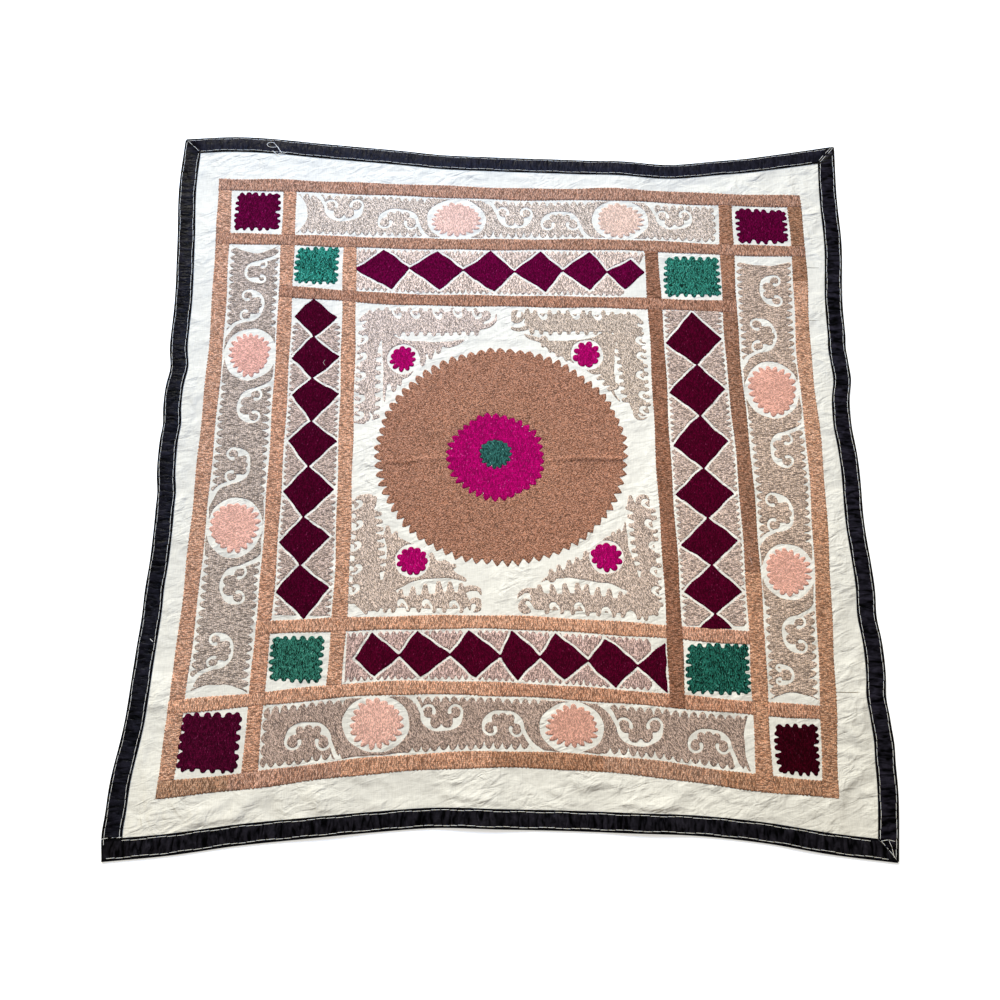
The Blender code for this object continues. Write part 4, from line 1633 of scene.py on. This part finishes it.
# The height over the ripples of what a thread lies on
LIE_ON = {"satin": BINDING_FACE + 0.0014, "cotton": 0.0016, "yarn": 0.0032}


def add_cord(points, faces, line, radius):
    """A thin round cord along a line of places."""
    besides = []
    for run in np.gradient(line, axis=0):
        besides.append(np.array((-run[1], run[0], 0.0)) / max(math.hypot(run[0], run[1]), 1e-9))
    add_tube(points, faces, line, besides, [radius] * len(besides))


def make_cords(name, cords, material):
    points, faces = [], []
    for places, base, radius in cords:
        x, y = curve_through([mm(place) for place in places], 4).T
        z = ripple_height(x, y) + LIE_ON[base] + (crease_height(x, y) if base == "cotton" else 0)
        add_cord(points, faces, in_part(x, y, z), radius / 1000)
    return mesh_object(name, points, faces, [material])


# ---------------------------------------------------------------- setting

# The camera's place over the floor, how far it tilts up from straight down, and how far it turns
CAMERA_FOOT = (-0.0027, -0.709)
CAMERA_HEIGHT = 2.1317
CAMERA_TILT_DEG = 90 - 73.6
CAMERA_TURN_DEG = 0.786
# Soft round pools of light: name, place, spread in degrees, power and colour
LIGHT_POOLS = (
    ("middle_light", (0.15, -0.08, 3.0), 27, 58.0, (1.0, 0.90, 0.65)),
    ("corner_light", (-0.78, -0.52, 3.0), 14, 52.0, (0.85, 0.93, 1.0)),
)


def make_camera():
    data = bpy.data.cameras.new("camera")
    data.lens, data.sensor_width = 36.0, 36.0
    camera = bpy.data.objects.new("camera", data)
    camera.location = (CAMERA_FOOT[0] - CENTRE[0], CAMERA_FOOT[1] - CENTRE[1], CAMERA_HEIGHT)
    camera.rotation_euler = (math.radians(CAMERA_TILT_DEG), 0.0, math.radians(CAMERA_TURN_DEG))
    bpy.context.scene.collection.objects.link(camera)
    bpy.context.scene.camera = camera


def make_light(name, kind, place, power, colour, **settings):
    """A light that shines at the middle of the cloth, or straight down where it is a spot."""
    data = bpy.data.lights.new(name, kind)
    data.energy, data.color = power, colour
    for setting, value in settings.items():
        setattr(data, setting, value)
    light = bpy.data.objects.new(name, data)
    light.location = place
    if kind != "SPOT":
        light.rotation_euler = (-light.location).to_track_quat("-Z", "Y").to_euler()
    bpy.context.scene.collection.objects.link(light)


def make_floor():
    bpy.ops.mesh.primitive_plane_add(size=14.0, location=(0, 0, -0.0002))
    floor = bpy.context.object
    floor.name = "studio_floor"
    tree, place, finish = new_material(
        "floor_paint", Roughness=0.9, Specular_IOR_Level=0.1, Emission_Color=(1.0, 1.0, 1.0, 1.0),
        Emission_Strength=0.45,
    )
    tone = spread_over(tree, noise(tree, place, 2.0), 0.3, 0.7, 0.99, 1.0)
    lit = node(tree, "HueSaturation", {"Color": (0.96, 0.96, 0.96, 1.0), "Value": tone})
    floor.data.materials.append(finish(lit.outputs["Color"]))


def make_setting():
    make_camera()
    world = bpy.data.worlds.new("studio")
    world.use_nodes = True
    background = world.node_tree.nodes["Background"]
    background.inputs["Color"].default_value = (1.0, 0.90, 0.73, 1.0)
    background.inputs["Strength"].default_value = 0.33
    bpy.context.scene.world = world
    bpy.context.scene.view_settings.view_transform = "Standard"
    make_light("key", "AREA", (-0.4, 1.3, 2.0), 54.0, (0.47, 0.65, 1.0), shape="SQUARE", size=1.0)
    make_light("raking_light", "SUN", (-0.35, 0.94, 0.65), 2.6, (1.0, 0.93, 0.68), angle=math.radians(4))
    for name, place, spread, power, colour in LIGHT_POOLS:
        make_light(name, "SPOT", place, power, colour, spot_size=math.radians(spread), spot_blend=1.0,
                   shadow_soft_size=0.2)
    make_floor()


# ---------------------------------------------------------------- the whole cloth

# The low and high corners of a box round all the strips
STRIPS_BOX = ((-0.735, -0.76), (0.735, 0.76))
# Mesh steps: for broad plain shapes, for fine ones, and for the smallest
BROAD_STEP, FINE_STEP, FINEST_STEP = 0.0026, 0.0021, 0.0019
# How far the thinner taupe embroidery stands proud
THIN_PLUMP = 0.0013

# Each strip's yarn, and the tint of the darker threads in it
STRIP_COLOURS = {
    "H1": (200, 156, 134), "H2": (200, 154, 130), "H3": (193, 145, 121),
    "H4": (229, 177, 147), "H5": (234, 182, 152), "H6": (197, 156, 129),
    "V1": (222, 174, 147), "V2": (225, 173, 144), "V3": (226, 175, 145),
    "V4": (169, 122, 98), "V5": (219, 168, 137), "V6": (213, 164, 133),
}
STRIP_SHADE = (0.90, 0.78, 0.70, 1.0)
# Where another lot of yarn takes over along a strip, and its colour
LATER_YARNS = {
    "H4": ((0.365, (228, 176, 150)),),
    "H5": ((-0.010, (220, 167, 138)),),
    "H6": (
        (-0.560, (209, 164, 142)), (-0.330, (226, 174, 144)), (-0.020, (199, 150, 120)),
        (0.210, (208, 165, 140)), (0.450, (206, 157, 126)),
    ),
    "V5": ((-0.235, (175, 131, 107)), (0.450, (186, 138, 111)),),
    "V6": ((-0.100, (227, 178, 148)), (0.470, (179, 135, 107)),),
}

# The other yarns, by what is worked in them
YARN_COLOURS = {
    "medallion": (191, 140, 116), "magenta": (180, 2, 100), "eye": (47, 97, 89),
    "square_top_left": (98, 2, 53), "square_top_right": (98, 1, 51), "square_bottom_left": (77, 7, 39),
    "square_bottom_right": (56, 1, 16), "green_top_left": (46, 132, 114),
    "green_top_right": (50, 127, 109), "green_bottom_left": (51, 114, 97),
    "green_bottom_right": (35, 98, 84), "peach_left_far": (245, 183, 166),
    "peach_left_near": (251, 192, 173), "peach_top_left": (251, 206, 189),
    "peach_top_right": (251, 213, 192), "peach_right_far": (242, 179, 158),
    "peach_right_near": (245, 183, 163), "peach_bottom_left": (251, 195, 176),
    "peach_bottom_right": (233, 173, 152), "diamonds_left": (75, 1, 33), "diamonds_right": (78, 1, 32),
    "diamonds_top": (100, 1, 52), "diamonds_bottom": (80, 2, 33), "triangles_left": (214, 188, 174),
    "triangles_right": (219, 192, 177), "triangles_top": (247, 220, 203),
    "triangles_bottom": (221, 186, 175), "panel_left": (208, 187, 172), "panel_right": (220, 192, 172),
    "panel_top": (238, 217, 200), "panel_bottom": (202, 174, 158), "leaf_top_left": (235, 212, 198),
    "leaf_top_right": (222, 200, 181), "leaf_bottom_left": (228, 203, 185),
    "leaf_bottom_right": (223, 198, 181),
}

# Each side's satin: the way its puckers run, its colour, and how dark and light its painted sheen makes it
# over them
SATIN_AND_SHEEN = {
    "top": (90, (24, 23, 31), 0.7, 1.4), "right": (0, (25, 23, 30), 0.0, 1.7),
    "bottom": (90, (25, 23, 28), 0.0, 1.6), "left": (0, (21, 20, 27), 0.1, 1.5),
}


def dyed(name, **settings):
    """The yarn of one motif, in its own colour."""
    return yarn_material("yarn_" + name, srgb(*YARN_COLOURS[name]), **settings)


def lighter(name, by):
    """A motif's colour, that much lighter, for its flecks: painted glints on a few stitches."""
    return srgb(*(min(255, value + by) for value in YARN_COLOURS[name]))


def strip_materials(names, heading):
    """One yarn for each strip. The stitches run straight across it."""
    return [
        yarn_material(
            "yarn_" + name, srgb(*STRIP_COLOURS[name]), heading, stitch=0.0042, width=0.0012, tone=1.1,
            shade=STRIP_SHADE, upright=name in STRIPS_UP,
            later=[(start, srgb(*colour)) for start, colour in LATER_YARNS.get(name, ())],
        )
        for name in names
    ]


def make_strips():
    for name, depth_at, strips, heading in (
        ("strips_across", across_depth, STRIPS_ACROSS, 90), ("strips_up", up_depth, STRIPS_UP, 0),
    ):
        embroider(name, depth_at, STRIPS_BOX, strip_materials(strips, heading), BROAD_STEP,
                  kind_at=nearest_strip(tuple(strips)))


def embroider_round(name, depth_at, centre, radii, material, **settings):
    """Embroidery over a shape with this centre and these half sizes."""
    embroider(name, depth_at, box_round(centre, (2 * radii[0], 2 * radii[1])), material, **settings)


def make_medallion():
    tan = dyed("medallion", heading=12, stitch=0.0020, width=0.0011, tone=1.2, shade=STRIP_SHADE)
    pink = dyed("magenta", heading=90, stitch=0.0042, tone=0.65, fleck=srgb(205, 60, 140), shine=0.04)
    green = dyed("eye", heading=90, tone=1.2, fleck=srgb(100, 160, 150))

    def bluntness(angle):
        """Rounder fingers at the upper left, and sharper ones at the lower right."""
        return 0.50 - 0.35 * np.cos(angle + math.radians(45))

    def length(angle):
        """Shorter fingers at the right than at the left."""
        return 0.0162 - 0.0030 * np.cos(angle + math.radians(20))

    def ring_length(angle):
        """Longer fingers at the top and bottom than at the sides."""
        return 0.0090 + 0.0072 * np.abs(np.sin(angle))

    disc = fingered_ellipse(*MEDALLION, length, bluntness, spread=0.18, lean=0.20, stray=0.0014)
    ring = fingered_ellipse(*MAGENTA, ring_length, 0.5, spread=0.35, stray=0.0026)
    eye = fingered_ellipse(*EYE, 0.0085, 0.55, spread=0.4, stray=0.0016)

    def disc_depth(x, y):
        return np.minimum(disc(x, y), LAP - ring(x, y))

    def ring_depth(x, y):
        return np.minimum(ring(x, y), LAP - eye(x, y))

    embroider_round("medallion", disc_depth, *MEDALLION[:2], tan, step=BROAD_STEP)
    embroider_round("magenta_ring", ring_depth, *MAGENTA[:2], pink)
    embroider_round("green_eye", eye, *EYE[:2], green)
    for corner, (centre, radius, count) in SMALL_ROSETTES.items():
        centre, radii = mm(centre), mm((radius, radius))
        shape = fingered_ellipse(centre, radii, count, 0.0105, 0.9, seed=radius, spread=0.35, stray=0.0022)
        embroider_round("rosette_" + corner, shape, centre, radii, pink, step=FINEST_STEP)


def make_squares():
    for name, centre, size, count in BURGUNDY_SQUARES:
        yarn = dyed(name, heading=90, tone=0.9, dye=0.16, fleck=lighter(name, 30), shine=0.02)
        shape = fingered_square(mm(centre), mm(size), count, seed=centre[0])
        embroider(name, shape, box_round(mm(centre), mm(size)), yarn)
    for name, centre, size, count in GREEN_SQUARES:
        yarn = dyed(name, heading=90, stitch=0.0032, width=0.0012, tone=1.7, gap=0.7, fleck=lighter(name, 55),
                    shine=0.05)
        shape = fingered_square(mm(centre), mm(size), count, seed=centre[0])
        pitch = size[0] / 1000 / (count[0] - 1)
        left = (centre[0] - size[0] / 2) / 1000

        def ribs(x, y, pitch=pitch, left=left):
            """Upright ribs in the padding, one for each finger."""
            return 0.82 + 0.18 * np.cos(2 * math.pi * (x - left) / pitch)

        embroider(name, shape, box_round(mm(centre), mm(size)), yarn, swell=ribs)


def make_peach():
    for name, centre, size in PEACH_ROSETTES:
        heading = 0 if "left_" in name or "right_" in name else 90
        yarn = dyed(name, heading=heading, stitch=0.0030, tone=0.55, gap=0.42, fleck=lighter(name, 22))
        radii = (size[0] / 2000, size[1] / 2000)
        shape = fingered_ellipse(
            mm(centre), radii, PEACH_FINGERS, 0.0140, 0.75, turn=0.3 * centre[0] / 100, seed=centre[1],
            spread=0.40, lean=-0.18, stray=0.0030,
        )
        embroider(name, shape, box_round(mm(centre), mm(size)), yarn)


def make_diamonds():
    for row, spec in DIAMOND_ROWS.items():
        part_corners = sum(PART_DIAMONDS.get(row, ()), ())
        corners = np.array([*spec["joints"], *spec["low"], *spec["high"], *part_corners])
        low, high = corners.min(axis=0) / 1000 - 0.010, corners.max(axis=0) / 1000 + 0.010
        name = "diamonds_" + row
        burgundy = dyed(name, heading=90, tone=0.8, dye=0.12, fleck=lighter(name, 30), shine=0.02)
        embroider(name, diamonds_depth(row), (low, high), burgundy, BROAD_STEP)
        name = "triangles_" + row
        taupe = dyed(name, heading=0 if row in UPRIGHT else 90, width=0.0012, tone=1.15, gap=0.7)
        embroider(name, triangles_depth(row), (low - 0.030, high + 0.030), taupe, plump=THIN_PLUMP)


def make_panels():
    for side, spec in PANELS.items():
        first, last = spec["ends"][0][0] / 1000 - 0.006, spec["ends"][1][0] / 1000 + 0.006
        at = np.linspace(first, last, 9)
        low, high = (strip_middle(name, at) for name in spec["sides"])
        box = ((first, low.min()), (last, high.max()))
        if side in UPRIGHT:
            box = tuple(corner[::-1] for corner in box)
        heading, stitch = (0, 0.0046) if side in UPRIGHT else (115, 0.0028)
        taupe = dyed("panel_" + side, heading=heading, stitch=stitch, width=0.0011, tone=1.15, gap=0.7)
        embroider("panel_" + side, panel_depth(side), box, taupe, FINE_STEP, THIN_PLUMP)


def make_corner_leaves():
    for corner, spec in CORNER_LEAVES.items():
        taupe = dyed("leaf_" + corner, heading=110, stitch=0.0026, width=0.0012, tone=1.1, gap=0.7)
        places = np.concatenate([np.array(body) for body in spec["bodies"]]) / 1000
        box = (places.min(axis=0) - 0.028, places.max(axis=0) + 0.028)
        embroider("leaf_" + corner, corner_leaf_depth(corner), box, taupe, FINE_STEP, THIN_PLUMP)


def make_sewing():
    """The stitches, loose threads and tucks, which lie on the cloth; the tucks' dark cords are painted shade
    along their folds.
    """
    pieces = [
        make_running_stitches(thread_material()),
        make_cords("loose_threads", LOOSE_THREADS, thread_material("loose_thread")),
        # The tuck cords' dark colour is painted shade along the fold
        make_cords("shaded_tucks", SHADED_TUCKS, thread_material("tuck_fold_shade", (150, 138, 118))),
        make_cords("stray_yarns", STRAY_YARNS, thread_material("stray_yarn", (214, 190, 180))),
    ]
    return pieces


def make_cloth():
    for make in (
        make_strips, make_medallion, make_squares, make_peach, make_diamonds, make_panels, make_corner_leaves,
    ):
        make()
    ground = make_ground(cotton_material())
    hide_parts("ground_cloth")
    on_cloth = [*embroidered, *make_sewing()]
    for piece in (ground, *on_cloth):
        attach(piece, "root")
    # The rim's darker satin is painted shade
    rim = shaded_satin_rim_material()
    for side in BINDING_SIDES:
        strip = make_binding(side, [satin_material("satin_" + side, *SATIN_AND_SHEEN[side]), rim])
        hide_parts("binding_" + side)
        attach(strip, "root")
        2 * side_half(side)


make_setting()
make_cloth()
